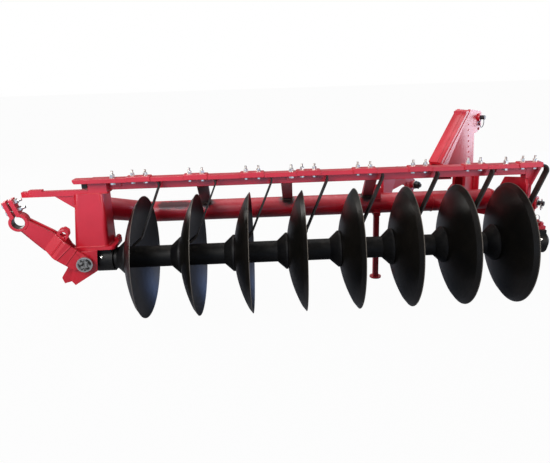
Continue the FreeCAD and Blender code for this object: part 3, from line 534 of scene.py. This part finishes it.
def sawn_end(centre, radius):
    """Zinc-plated pin whose sawn ends are dark and scuffed inside a bright rim."""
    material, tree, shader = plain_material("sawn_pin", roughness=0.34, Metallic=0.9)
    place = object_place(tree)
    local = vector_math(tree, "SUBTRACT", place, centre)
    away = vector_math(tree, "LENGTH", vector_math(tree, "MULTIPLY", local, (1.0, 0.0, 1.0)))
    inside = ramp(tree, away, start=radius * RIM_INSIDE, end=radius * CORE_OUTSIDE)
    scuff = noise(tree, place, scale=85.0, detail=5.0, roughness=0.7)
    core = mixed(tree, ramp(tree, scuff, start=0.44, end=0.60), SAWN_DARK, SAWN_BRIGHT)
    tree.links.new(mixed(tree, inside, ZINC, core), shader.inputs["Base Color"])
    bumped(tree, shader, scuff, strength=0.35, distance=0.0015)
    return material


coat_nodes(["link_pins", "top_pin"], black_steel)
coat_nodes(["clamp_bolts"], zinc)
coat_nodes(["tail_pin"], sawn_end(TAIL_PIN_END, TAIL_PIN_HEAD))


# ---------------------------------------------------------------- welds
# Every joint of the frame is a hand-laid electric weld: a row of overlapping puddles a few
# millimetres high, sprayed over with the same red. Those at the struts' feet stay burnt.

WELD_RADIUS = 0.0035
WELD_PITCH = 0.006
BURNT_METAL = (0.045, 0.028, 0.022, 1.0)
BURNT_SCALE = (0.16, 0.10, 0.08, 1.0)
SEAM_LIFT = 0.0005
SAME_POINT = 1e-6
PIPE_AXIS = (382, 146)
PIN_Z = 150.0
ALONG = Vector((1.0, 0.0, 0.0))
BEHIND = Vector((0.0, 1.0, 0.0))
TOP = Vector((0.0, 0.0, 1.0))


def closed_tree(tree, geometry, finish, smooth=None):
    """The geometry tree, once its instances are made real and its material is set."""
    real = add(tree, "GeometryNodeRealizeInstances", {"Geometry": geometry})
    if smooth is not None:
        real = add(tree, "GeometryNodeSetShadeSmooth",
                   {"Geometry": real.outputs["Geometry"], "Shade Smooth": smooth})
    painted = add(tree, "GeometryNodeSetMaterial",
                  {"Geometry": real.outputs["Geometry"], "Material": finish})
    return closed_group(tree, Geometry=painted.outputs["Geometry"])


def random_value(tree, seed, low, high):
    """A number for each point, evenly spread."""
    made = add(tree, "FunctionNodeRandomValue", {"Seed": seed, 2: low, 3: high},
               data_type="FLOAT")
    return made.outputs[1]


def weld_bead_tree():
    """A rippled bead along the edges it is given."""
    steps, hollow, thinnest, widest, sides = 3.0, 0.7, 0.75, 1.05, 8
    tree, size = new_group(
        "weld_bead", "GeometryNodeTree",
        [("Geometry", "Geometry", None), ("Bead Radius", "Float", 0.004),
         ("Puddle Pitch", "Float", 0.006), ("Seed", "Int", 3), ("Finish", "Material", None)],
        [("Geometry", "Geometry")])
    line = add(tree, "GeometryNodeMeshToCurve", {"Mesh": size["Geometry"]})
    step = math_node(tree, "DIVIDE", size["Puddle Pitch"], steps)
    even = add(tree, "GeometryNodeResampleCurve",
               {"Curve": line.outputs["Curve"], "Length": step}, mode="LENGTH")
    along = add(tree, "GeometryNodeSplineParameter").outputs["Length"]
    puddles = math_node(tree, "DIVIDE", along, size["Puddle Pitch"])
    hump = math_node(tree, "ADD", math_node(tree, "PINGPONG", puddles, 0.5), hollow)
    uneven = random_value(tree, size["Seed"], thinnest, widest)
    width = math_node(tree, "MULTIPLY", math_node(tree, "MULTIPLY", hump, uneven),
                      size["Bead Radius"])
    ring = add(tree, "GeometryNodeCurvePrimitiveCircle", {"Resolution": sides, "Radius": 1.0})
    bead = add(tree, "GeometryNodeCurveToMesh",
               {"Curve": even.outputs["Curve"], "Profile Curve": ring.outputs["Curve"],
                "Scale": width, "Fill Caps": True})
    return closed_tree(tree, bead.outputs["Mesh"], size["Finish"])


def new_object(name, data):
    """An object in the scene, at the origin."""
    made = bpy.data.objects.new(name, data)
    bpy.context.collection.objects.link(made)
    return made


def seated(piece, body):
    """Rides a finished new piece on its body."""
    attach(piece, body)


def grown(name, tree, mesh, body, **values):
    """A plain mesh made by a tree from a mesh of places, riding on a body."""
    made = new_object(name, mesh)
    modifier = made.modifiers.new("tree", "NODES")
    modifier.node_group = tree
    sockets = {item.name: item.identifier for item in tree.interface.items_tree
               if item.in_out == "INPUT"}
    for label, value in values.items():
        modifier[sockets[label.replace("_", " ")]] = value
    bpy.context.view_layer.update()
    graph = bpy.context.evaluated_depsgraph_get()
    result = bpy.data.meshes.new_from_object(made.evaluated_get(graph))
    made.modifiers.clear()
    made.data = result
    seated(made, body)


def seams_mesh(name, seams):
    """Lines of edges through the points of each seam; a closed seam ends where it starts."""
    mesh = bpy.data.meshes.new(name)
    places = []
    edges = []
    for points in seams:
        first = len(places)
        closed = (points[0] - points[-1]).length < SAME_POINT
        points = points[:-1] if closed else points
        places += points
        edges += [(first + k, first + k + 1) for k in range(len(points) - 1)]
        if closed:
            edges.append((first + len(points) - 1, first))
    mesh.from_pydata([tuple(place) for place in places], edges, [])
    return mesh


def welded_paint(name, roughness, colours):
    """Paint or scale over a weld, thick and uneven."""
    return sprayed(name, roughness=roughness, ripple=380.0, cloud=90.0, colours=colours,
                   strength=0.5, distance=0.0008, Coat_Weight=0.2, Coat_Roughness=0.25)


weld_red = welded_paint("weld_red", 0.4, (RED_DEEP, RED))
weld_burnt = welded_paint("weld_burnt", 0.65, (BURNT_METAL, BURNT_SCALE))
WELD_BEAD = weld_bead_tree()


def welds(name, seams, seed, thickness=1.0, pitch=1.0, finish=weld_red):
    """Beads along a set of the frame's seams."""
    grown(name, WELD_BEAD, seams_mesh(name, seams), "frame",
          Bead_Radius=WELD_RADIUS * thickness, Puddle_Pitch=WELD_PITCH * pitch, Seed=seed,
          Finish=finish)


def arc(centre, radius, first, second, start=0.0, turn=360.0, count=36):
    """Points on an arc in the plane of two directions, from one angle through another."""
    steps = [math.radians(start + turn * k / count) for k in range(count + 1)]
    return [centre + radius * (first * math.cos(a) + second * math.sin(a)) for a in steps]


def circle(centre, radius, axis):
    """A closed ring of points square to a level axis."""
    side = axis.cross(TOP).normalized()
    return arc(centre, radius, side, axis.cross(side))


def foot_loop(x, half, front, back):
    """A closed seam round a foot that wide each side of x; front and back are (y, z)."""
    corners = [at(x - half, *front), at(x + half, *front), at(x + half, *back),
               at(x - half, *back)]
    return corners + corners[:1]


def strut_seams():
    """Under the top beam, across each strut."""
    half, y, z = 30, 1, 385.5
    return [[at(x - half, y, z), at(x + half, y, z)] for x in STRUT_HEADS]


def mitre_seam():
    """Round the pipe where its straight length meets the elbow."""
    corner = at(-60, *PIPE_AXIS)
    leg = (at(-244, 60, 270) - corner).normalized()
    normal = ALONG - leg
    ring = arc(Vector(), PIPE_RADIUS + SEAM_LIFT, BEHIND, TOP)
    return [corner + spoke - ALONG * (spoke.dot(normal) / normal.x) for spoke in ring]


def box_seams():
    """At the foot and the head of the tail box."""
    left, turn, corner, right = -337, -192, -177, -170
    front, back, foot, head = -76.0, 76.0, 95.0, 379.0
    return [[at(left, front, foot), at(turn, front, foot), at(corner, front + 6, foot),
             at(right, front + 20, foot), at(right, back - 20, foot),
             at(corner, back - 6, foot), at(turn, back, foot), at(left, back, foot)],
            foot_loop(-194.5, 49.5, (-70, head), (29, head))]


def mast_seams():
    """Up the mast's front plate and along its sloping foot."""
    front, low, high = -27, 112, 322
    foot_back, foot_front, back_z, front_z = -212, -157, 206, 231
    seams = []
    for edge in (-42.5, 42.5):
        seams.append([hitch(front, edge, low), hitch(front, edge, high)])
        seams.append([hitch(foot_back, edge, back_z), hitch(foot_front, edge, front_z)])
    return seams


def hitch_arm_seams():
    """Where the cross beam, the arms and the link-pin sleeves meet."""
    back, front, sleeve_radius = -86, -26, 0.027
    seams = []
    for face, sleeve in ((-392.0, -391.5), (402.0, 412.0)):
        for z in (108.5, 48.0):
            seams.append([hitch(back, face, z), hitch(front, face, z)])
        seams.append(circle(hitch(0, sleeve, PIN_Z), sleeve_radius, ACROSS))
    return seams


def stand_seams():
    """Round the stand's sleeve on the top and the bottom of the pipe."""
    x, half, front_y, back_y = 1333, 22, 323, 367
    return [foot_loop(x, half, (front_y, 189.0), (back_y, 201.0)),
            foot_loop(x, half, (front_y, 100.0), (back_y, 88.0))]


def pipe_end_seams():
    """Round the pipe at the mast's foot and at the front end plate."""
    return [circle(at(x, *PIPE_AXIS), PIPE_RADIUS + lift, ALONG)
            for x, lift in ((1677, SEAM_LIFT), (2047, 2 * SEAM_LIFT))]


def strut_bar_seams():
    """Up the tail box beside the bar for the tail wheel's strut."""
    x, low, high = -318, 297, 368
    return [[at(x, y, low), at(x, y, high)] for y in (-64.5, -35.5)]


def plug_weld_seams():
    """A row of short plug welds on the near mast plate, where a bar is welded behind it."""
    count, half, near_face = 7, TOP * 0.005, -42.2
    top_forward, top_z, run_forward, drop = -163.0, 610.0, 35.0, 204.0
    seams = []
    for number in range(count):
        share = number / (count - 1)
        spot = hitch(top_forward + run_forward * share, near_face, top_z - drop * share)
        seams.append([spot - half, spot + half])
    return seams


welds("frame_welds", strut_seams() + [mitre_seam()] + box_seams() + mast_seams()
      + hitch_arm_seams() + stand_seams() + pipe_end_seams() + strut_bar_seams(), seed=3)
welds("strut_welds", [foot_loop(x, 31, (346, 198.0), (376, 208.5)) for x in STRUT_FEET], seed=5,
      thickness=1.5, pitch=1.3, finish=weld_burnt)
welds("plug_welds", plug_weld_seams(), seed=12, thickness=0.8)


# ---------------------------------------------------------------- bolts
# Zinc-plated hexagon bolts, each with two washers and a nut: a pair through every scraper and
# its red cap, and one through each clamp. The threads stand well above their nuts.

RIM_STEP = 287.0
SCRAPER_BOLT_X = (-6.0, 58.0)
SCRAPER_Y = -76.0
BAR_MIDDLE_Y = -82.0
BAR_UNDER_Z = 438.0
CLAMP_X = (-106.0, 800.0, 1911.0)
PAD_UNDER_Z = 437.0
CAP_TOP_Z = 466.0
SIXTH_TURN = 1.05


def bolt_tree():
    """A bolt at each point: its head and washer hang under the point, its shank stands on it."""
    tree, size = new_group(
        "hexagon_bolt", "GeometryNodeTree",
        [("Geometry", "Geometry", None), ("Across Flats", "Float", 0.019),
         ("Head Height", "Float", 0.008), ("Shank Radius", "Float", 0.006),
         ("Washer Radius", "Float", 0.012), ("Washer Thickness", "Float", 0.0025),
         ("Grip", "Float", 0.02), ("Nut Height", "Float", 0.01), ("Tail", "Float", 0.02),
         ("Thread Pitch", "Float", 0.002), ("Seed", "Int", 7), ("Finish", "Material", None)],
        [("Geometry", "Geometry")])

    def times(first, second):
        return math_node(tree, "MULTIPLY", first, second)

    def plus(first, second):
        return math_node(tree, "ADD", first, second)

    def drum(sides, radius, height, middle, segments=1):
        """One upright drum of the bolt, centred at a height."""
        made = add(tree, "GeometryNodeMeshCylinder",
                   {"Vertices": sides, "Side Segments": segments, "Radius": radius,
                    "Depth": height})
        lift = add(tree, "ShaderNodeCombineXYZ", {"Z": middle})
        moved = add(tree, "GeometryNodeTransform",
                    {"Geometry": made.outputs["Mesh"], "Translation": lift.outputs[0]})
        return moved.outputs["Geometry"]

    round_sides, shank_sides, hexagon, thread_rings = 24, 12, 6, 48
    crown_width, crown_share, thread_depth = 0.47, 0.12, 0.24
    washer, nut, radius = size["Washer Thickness"], size["Nut Height"], size["Shank Radius"]
    corner = math_node(tree, "DIVIDE", size["Across Flats"], math.sqrt(3.0))
    half_washer = times(washer, 0.5)
    head_middle = times(plus(washer, times(size["Head Height"], 0.5)), -1.0)
    nut_seat = plus(size["Grip"], washer)
    crown_radius = times(size["Across Flats"], crown_width)
    crown = times(nut, crown_share)
    threaded = plus(nut, size["Tail"])
    tail = drum(shank_sides, radius, threaded, plus(nut_seat, times(threaded, 0.5)),
                thread_rings)
    place = add(tree, "GeometryNodeInputPosition").outputs[0]
    spot = add(tree, "ShaderNodeSeparateXYZ", {"Vector": place}).outputs
    angle = math_node(tree, "ARCTAN2", spot["Y"], spot["X"])
    climb = math_node(tree, "DIVIDE", spot["Z"], size["Thread Pitch"])
    helix = plus(climb, math_node(tree, "DIVIDE", angle, 2.0 * math.pi))
    tooth = math_node(tree, "PINGPONG", helix, 0.5)
    bite = math_node(tree, "SUBTRACT", 1.0, times(tooth, thread_depth))
    spread = add(tree, "ShaderNodeCombineXYZ", {"X": bite, "Y": bite, "Z": 1.0})
    cut = vector_math(tree, "MULTIPLY", place, spread.outputs[0])
    thread = add(tree, "GeometryNodeSetPosition", {"Geometry": tail, "Position": cut})
    pieces = add(tree, "GeometryNodeJoinGeometry")
    for part in (
            drum(round_sides, size["Washer Radius"], washer, times(half_washer, -1.0)),
            drum(hexagon, corner, size["Head Height"], head_middle),
            drum(round_sides, size["Washer Radius"], washer, plus(size["Grip"], half_washer)),
            drum(hexagon, corner, nut, plus(nut_seat, times(nut, 0.5))),
            drum(round_sides, crown_radius, crown, plus(plus(nut_seat, nut), times(crown, 0.5))),
            drum(shank_sides, radius, nut_seat, times(nut_seat, 0.5)),
            thread.outputs["Geometry"]):
        tree.links.new(part, pieces.inputs["Geometry"])
    turn = add(tree, "ShaderNodeCombineXYZ",
               {"Z": random_value(tree, size["Seed"], 0.0, SIXTH_TURN)})
    placed = add(tree, "GeometryNodeInstanceOnPoints",
                 {"Points": size["Geometry"], "Instance": pieces.outputs["Geometry"],
                  "Rotation": turn.outputs[0]})
    return closed_tree(tree, placed.outputs["Instances"], size["Finish"], smooth=False)


HEXAGON_BOLT = bolt_tree()


def bolts(name, places, finish, flats, grip, tail, seed=7):
    """A set of like upright bolts; flats is the size across the head, and the rest follows."""
    mesh = bpy.data.meshes.new(name)
    mesh.from_pydata([tuple(place) for place in places], [], [])
    grown(name, HEXAGON_BOLT, mesh, "frame", Across_Flats=flats, Head_Height=flats * 0.42,
          Shank_Radius=flats * 0.316, Washer_Radius=flats * 0.66,
          Washer_Thickness=flats * 0.13, Grip=grip, Nut_Height=flats * 0.56, Tail=tail,
          Thread_Pitch=flats * 0.11, Seed=seed, Finish=finish)


rims = [number * RIM_STEP for number in range(DISCS)]
bolts("scraper_bolts", [at(rim + x, SCRAPER_Y, PAD_UNDER_Z)
                        for rim in rims for x in SCRAPER_BOLT_X],
      zinc, flats=0.019, grip=(CAP_TOP_Z - PAD_UNDER_Z) * MM, tail=0.017)
bolts("bar_clamp_bolts", [at(x, BAR_MIDDLE_Y, BAR_UNDER_Z) for x in CLAMP_X],
      zinc, flats=0.022, grip=0.022, tail=0.020)


# ---------------------------------------------------------------- small steel blocks and lips
# A black packing block lifts the scraper bar over the tail end, a black pad lies under every
# scraper, and each red cap is folded down over the bar's front leg and welded along its edges.

PACKING_LOW = at(-271, -72, 406)
PACKING_HIGH = at(-243.5, -34, 452.8)
PAD_X = (-24.0, 76.0)
PAD_HALF_DEPTH = 18.0
PAD_GAP = 0.3
PAD_TOP_Z = 445.0
CAP_X = (-33.0, 85.0)
LIP_FRONT_Y = -110.0
LIP_BACK_Y = -105.8
LIP_FOOT_Z = 440.0
LIP_SEAM_Y = -108.0
LIP_SEAM_Z = (441, 461)
CAP_SEAM_Y = (-104, -57)
CAP_SEAM_Z = 461.5
BLOCK_FACES = ((0, 1, 3, 2), (4, 6, 7, 5), (0, 4, 5, 1), (2, 3, 7, 6), (0, 2, 6, 4),
               (1, 5, 7, 3))


def blocks(name, corners, body, material, edge):
    """Upright blocks with softened edges, each given by two opposite corners."""
    points = []
    faces = []
    for low, high in corners:
        first = len(points)
        points += [(x, y, z) for x in (low.x, high.x) for y in (low.y, high.y)
                   for z in (low.z, high.z)]
        faces += [tuple(first + k for k in face) for face in BLOCK_FACES]
    mesh = bpy.data.meshes.new(name)
    mesh.from_pydata(points, [], faces)
    mesh.materials.append(material)
    made = new_object(name, mesh)
    bevel = made.modifiers.new("edge", "BEVEL")
    bevel.width = edge
    bevel.segments = 2
    seated(made, body)


blocks("packing_block", [(PACKING_LOW, PACKING_HIGH)], "frame", scraper_black, 0.002)
blocks("scraper_pads",
       [(at(rim + PAD_X[0], SCRAPER_Y - PAD_HALF_DEPTH, PAD_UNDER_Z + PAD_GAP),
         at(rim + PAD_X[1], SCRAPER_Y + PAD_HALF_DEPTH, PAD_TOP_Z)) for rim in rims],
       "frame", scraper_black, 0.0015)
blocks("cap_lips", [(at(rim + CAP_X[0], LIP_FRONT_Y, LIP_FOOT_Z),
                     at(rim + CAP_X[1], LIP_BACK_Y, CAP_TOP_Z)) for rim in rims],
       "frame", red, 0.0015)
cap_seams = []
for rim in rims:
    cap_seams += [[at(rim + x, LIP_SEAM_Y, z) for z in LIP_SEAM_Z] for x in CAP_X]
    cap_seams += [[at(rim + x, y, CAP_SEAM_Z) for y in CAP_SEAM_Y] for x in CAP_X]
welds("cap_welds", cap_seams, seed=9, thickness=0.9)


# ---------------------------------------------------------------- pins' own fittings
# Wire rings, a linch pin, a nut and washers of plated or blackened steel keep each pin in its
# place. All are bought parts, pushed or screwed on after painting.

TOP_PIN_FRONT = hitch(-12.0, -62.0, 640.0)
LINCH_CENTRE = hitch(0.0, -450.0, PIN_Z)
TOP_RING_RADIUS = 0.030
SPLIT_RING_CENTRE = hitch(-20.0, -48.0, 604.0)
SPLIT_RING_RADIUS = 0.013
LINCH_RING_RADIUS = 0.021
CLIP_FOOT = at(2150.0, -4.0, 93.0)
CLIP_HALF = 0.013
CLIP_HEIGHT = 0.045


def wire_tree():
    """Round wire along the edges it is given."""
    tree, size = new_group(
        "round_wire", "GeometryNodeTree",
        [("Geometry", "Geometry", None), ("Wire Radius", "Float", 0.002), ("Sides", "Int", 10),
         ("Finish", "Material", None)],
        [("Geometry", "Geometry")])
    line = add(tree, "GeometryNodeMeshToCurve", {"Mesh": size["Geometry"]})
    ring = add(tree, "GeometryNodeCurvePrimitiveCircle",
               {"Resolution": size["Sides"], "Radius": size["Wire Radius"]})
    wire = add(tree, "GeometryNodeCurveToMesh",
               {"Curve": line.outputs["Curve"], "Profile Curve": ring.outputs["Curve"],
                "Fill Caps": True})
    return closed_tree(tree, wire.outputs["Mesh"], size["Finish"], smooth=True)


ROUND_WIRE = wire_tree()


def wires(name, lines, radius, finish):
    """Lengths of round wire on the frame."""
    grown(name, ROUND_WIRE, seams_mesh(name, lines), "frame", Wire_Radius=radius, Finish=finish)


def turned(name, rings, start, way, body, material, sides=32):
    """A turned piece: rings of (distance along, radius) in millimetres about an axis."""
    along = Vector(way).normalized()
    side = along.orthogonal().normalized()
    up = along.cross(side)
    points = []
    for distance, radius in rings:
        for k in range(sides):
            turn = 2.0 * math.pi * k / sides
            points.append(start + along * distance * MM
                          + (side * math.cos(turn) + up * math.sin(turn)) * radius * MM)
    faces = [tuple(range(sides))[::-1]]
    for ring in range(len(rings) - 1):
        for k in range(sides):
            after = (k + 1) % sides
            faces.append((ring * sides + k, ring * sides + after, (ring + 1) * sides + after,
                          (ring + 1) * sides + k))
    faces.append(tuple((len(rings) - 1) * sides + k for k in range(sides)))
    mesh = bpy.data.meshes.new(name)
    mesh.from_pydata([tuple(point) for point in points], [], faces)
    mesh.materials.append(material)
    seated(new_object(name, mesh), body)


top_ring = arc(TOP_PIN_FRONT - TOP * 0.031, TOP_RING_RADIUS, FORWARD, TOP, start=90.0)
split_ring = arc(SPLIT_RING_CENTRE, SPLIT_RING_RADIUS, FORWARD, TOP, count=24)
wires("top_pin_ring", [top_ring, split_ring], 0.0022, black_steel)
linch_ring = arc(LINCH_CENTRE - TOP * 0.018, LINCH_RING_RADIUS, FORWARD, TOP, start=80.0,
                 count=30)
clip = [CLIP_FOOT - ALONG * CLIP_HALF]
clip += arc(CLIP_FOOT + TOP * CLIP_HEIGHT, CLIP_HALF, ALONG, TOP, start=180.0, turn=-180.0,
            count=14)
clip += [CLIP_FOOT + ALONG * CLIP_HALF]
wires("keeper_wires", [linch_ring, clip], 0.0024, zinc)
turned("linch_pin", [(-26, 3.0), (-24, 4.5), (24, 4.5), (28, 2.5)],
       LINCH_CENTRE, TOP, "frame", zinc, 20)
turned("near_pin_washer", [(0, 22.0), (0.4, 23.0), (3.6, 23.0), (4, 22.0)],
       hitch(0.0, -425.5, PIN_Z), -ACROSS, "frame", zinc, 36)
turned("far_pin_washer", [(0, 29.0), (0.6, 30.0), (4.4, 30.0), (5, 29.0)],
       hitch(0.0, 385.3, PIN_Z), -ACROSS, "frame", zinc, 36)
turned("far_pin_nut", [(0, 25.0), (1, 27.0), (25, 27.0), (27, 24.0), (27, 14.5), (38, 14.5),
                       (40, 12.5)],
       hitch(0.0, 380.2, PIN_Z), -ACROSS, "frame", black_steel, 6)


# ---------------------------------------------------------------- greasing and fixing
# Each bearing has a plated grease nipple on its front and hangs from hexagon bolts through the
# red plate above it. Those bolts were painted with the frame.

HOUSING_RADIUS = 67.5
NIPPLE_SINK = 1.0
NIPPLE_TURN = math.radians(24.0)
NIPPLE_WAY = Vector((0.0, -math.cos(NIPPLE_TURN), math.sin(NIPPLE_TURN)))
PLATE_TOP_Z = 93.0
SUNK_GRIP = 1.5
PLATE_BOLTS = ((-154, 12), (-154, 56), (2168, -18), (2168, 18), (2080, -18))


def nipple(name, place, way):
    """A small grease nipple: hexagon foot, neck and ball end."""
    turned(name + "_foot", [(0, 7.0), (4.5, 7.0), (5, 6.2)], place, way, "frame", zinc, 6)
    turned(name, [(4, 4.2), (8, 3.2), (10, 3.0), (12, 4.6), (14, 4.6), (15.5, 3.0)], place, way,
           "frame", zinc, 20)


for name, x in (("tail_nipple", -219.0), ("hitch_nipple", 2150.0)):
    nipple(name, at(x, 0, 0) + NIPPLE_WAY * (HOUSING_RADIUS - NIPPLE_SINK) * MM, NIPPLE_WAY)
bolts("plate_bolts", [at(x, y, PLATE_TOP_Z - SUNK_GRIP) for x, y in PLATE_BOLTS],
      red, flats=0.024, grip=SUNK_GRIP * MM, tail=0.006, seed=11)


# ---------------------------------------------------------------- floor, light and camera
# A white studio floor, broad soft lamps from the left, the front and above, a window at each
# side and a low blue one behind. Towards the front the floor glows bluish in reflections only, a
# painted light that gives faces turned to the front a pinkish sheen. The camera stands a little
# above the top of the frame.

FLOOR_HALF = 30.0
FLOOR_DROP = 0.0005
FLOOR_MATT = (0.22, 0.22, 0.24, 1.0)
WHITE = (1.0, 1.0, 1.0, 1.0)
# Colour of the floor's painted glow as seen in reflections, brighter than white.
FLOOR_REFLECTED_GLOW = (1.15, 1.50, 2.05, 1.0)
FLOOR_SEEN = 0.97
WORLD_LIT = 0.38
CAMERA_PLACE = (-0.1302, -2.8823, 1.3074)
CAMERA_YAW = math.radians(1.756)
CAMERA_DOWN = math.radians(15.18)
CAMERA_ROLL = math.radians(1.731)
CAMERA_LENS = 32.91
CAMERA_SHIFT = (-0.0229, -0.0518)


def floor():
    """A pale floor that keeps a soft shadow, looks white to the camera and glows bluish in
    reflections near the front.
    """
    mesh = bpy.data.meshes.new("floor")
    level = cad_box[0][2] - FLOOR_DROP
    corners = ((-1, -1), (1, -1), (1, 1), (-1, 1))
    mesh.from_pydata([(x * FLOOR_HALF, y * FLOOR_HALF, level) for x, y in corners], [],
                     [(0, 1, 2, 3)])
    made = new_object("floor", mesh)
    material = bpy.data.materials.new("floor_white")
    material.use_nodes = True
    tree = material.node_tree
    tree.nodes.clear()
    matt = add(tree, "ShaderNodeBsdfDiffuse", {"Color": FLOOR_MATT})
    path = add(tree, "ShaderNodeLightPath").outputs
    place = add(tree, "ShaderNodeSeparateXYZ", {"Vector": object_place(tree)})
    # Painted light: in reflections the floor's front glows bluish, standing in for a bright light
    # that gives front faces a pinkish sheen.
    front = ramp(tree, place.outputs["Y"], start=-3.0, end=-1.5, low=0.9, high=0.02)
    glow = add(tree, "ShaderNodeEmission",
               {"Color": mixed(tree, path["Is Glossy Ray"], WHITE, FLOOR_REFLECTED_GLOW)})
    seen = math_node(tree, "MULTIPLY", path["Is Camera Ray"], FLOOR_SEEN)
    shone = math_node(tree, "MULTIPLY", path["Is Glossy Ray"], front)
    share = math_node(tree, "ADD", seen, shone)
    both = add(tree, "ShaderNodeMixShader", {0: share, 1: matt.outputs[0], 2: glow.outputs[0]})
    out = add(tree, "ShaderNodeOutputMaterial")
    tree.links.new(both.outputs[0], out.inputs["Surface"])
    mesh.materials.append(material)


def world_light():
    """White all round for what is seen, and softer for what it lights."""
    world = bpy.data.worlds.new("studio")
    bpy.context.scene.world = world
    world.use_nodes = True
    tree = world.node_tree
    background = tree.nodes["Background"]
    background.inputs["Color"].default_value = WHITE
    path = add(tree, "ShaderNodeLightPath").outputs
    way = add(tree, "ShaderNodeSeparateXYZ",
              {"Vector": add(tree, "ShaderNodeTexCoord").outputs["Generated"]})
    sky = ramp(tree, way.outputs["Z"], start=0.05, end=0.7, low=0.06, high=0.62)
    shone = math_node(tree, "MULTIPLY", path["Is Glossy Ray"], sky)
    plain = math_node(tree, "SUBTRACT", 1.0, path["Is Glossy Ray"])
    lit = math_node(tree, "ADD", shone, math_node(tree, "MULTIPLY", plain, WORLD_LIT))
    strength = math_node(tree, "MAXIMUM", path["Is Camera Ray"], lit)
    tree.links.new(strength, background.inputs["Strength"])


def soft_lamp(name, place, aim, width, power, colour=(1.0, 1.0, 1.0)):
    """A square area lamp aimed at a place."""
    data = bpy.data.lights.new(name, "AREA")
    data.shape = "SQUARE"
    data.size = width
    data.energy = power
    data.color = colour
    made = new_object(name, data)
    made.location = place
    made.rotation_euler = (Vector(aim) - Vector(place)).to_track_quat("-Z", "Y").to_euler()
    made.visible_camera = False


def camera():
    """The camera, from its yaw, its tilt down and its roll."""
    data = bpy.data.cameras.new("camera")
    data.sensor_width = 36.0
    data.lens = CAMERA_LENS
    data.shift_x, data.shift_y = CAMERA_SHIFT
    made = new_object("camera", data)
    forward = Vector((math.sin(CAMERA_YAW) * math.cos(CAMERA_DOWN),
                      math.cos(CAMERA_YAW) * math.cos(CAMERA_DOWN), -math.sin(CAMERA_DOWN)))
    level = Vector((math.cos(CAMERA_YAW), -math.sin(CAMERA_YAW), 0.0))
    down = forward.cross(level)
    right = level * math.cos(CAMERA_ROLL) + down * math.sin(CAMERA_ROLL)
    up = level * math.sin(CAMERA_ROLL) - down * math.cos(CAMERA_ROLL)
    turn = Matrix((right, up, -forward)).transposed()
    made.matrix_world = Matrix.Translation(CAMERA_PLACE) @ turn.to_4x4()
    bpy.context.scene.camera = made


floor()
world_light()
soft_lamp("key", (-2.2, -3.4, 2.9), (0.0, 0.0, 0.4), 2.4, 192.0)
soft_lamp("overhead", (0.5, 0.9, 3.6), (0.1, 0.0, 0.4), 3.0, 34.0)
soft_lamp("side", (5.2, 1.6, 0.85), (0.6, -0.1, 0.6), 2.6, 104.0, (0.88, 0.90, 1.0))
soft_lamp("left_window", (-5.0, 2.4, 2.0), (0.9, -0.4, 0.5), 3.4, 190.0, (1.0, 0.97, 0.92))
soft_lamp("front_right", (3.4, -3.6, 1.6), (0.0, 0.0, 0.5), 1.6, 85.0, (1.0, 0.95, 0.92))
soft_lamp("blue_door", (4.3, 3.6, 0.5), (-0.6, 0.0, 0.3), 1.6, 50.0, (0.30, 0.48, 1.0))
camera()
bpy.context.scene.view_settings.view_transform = "Standard"
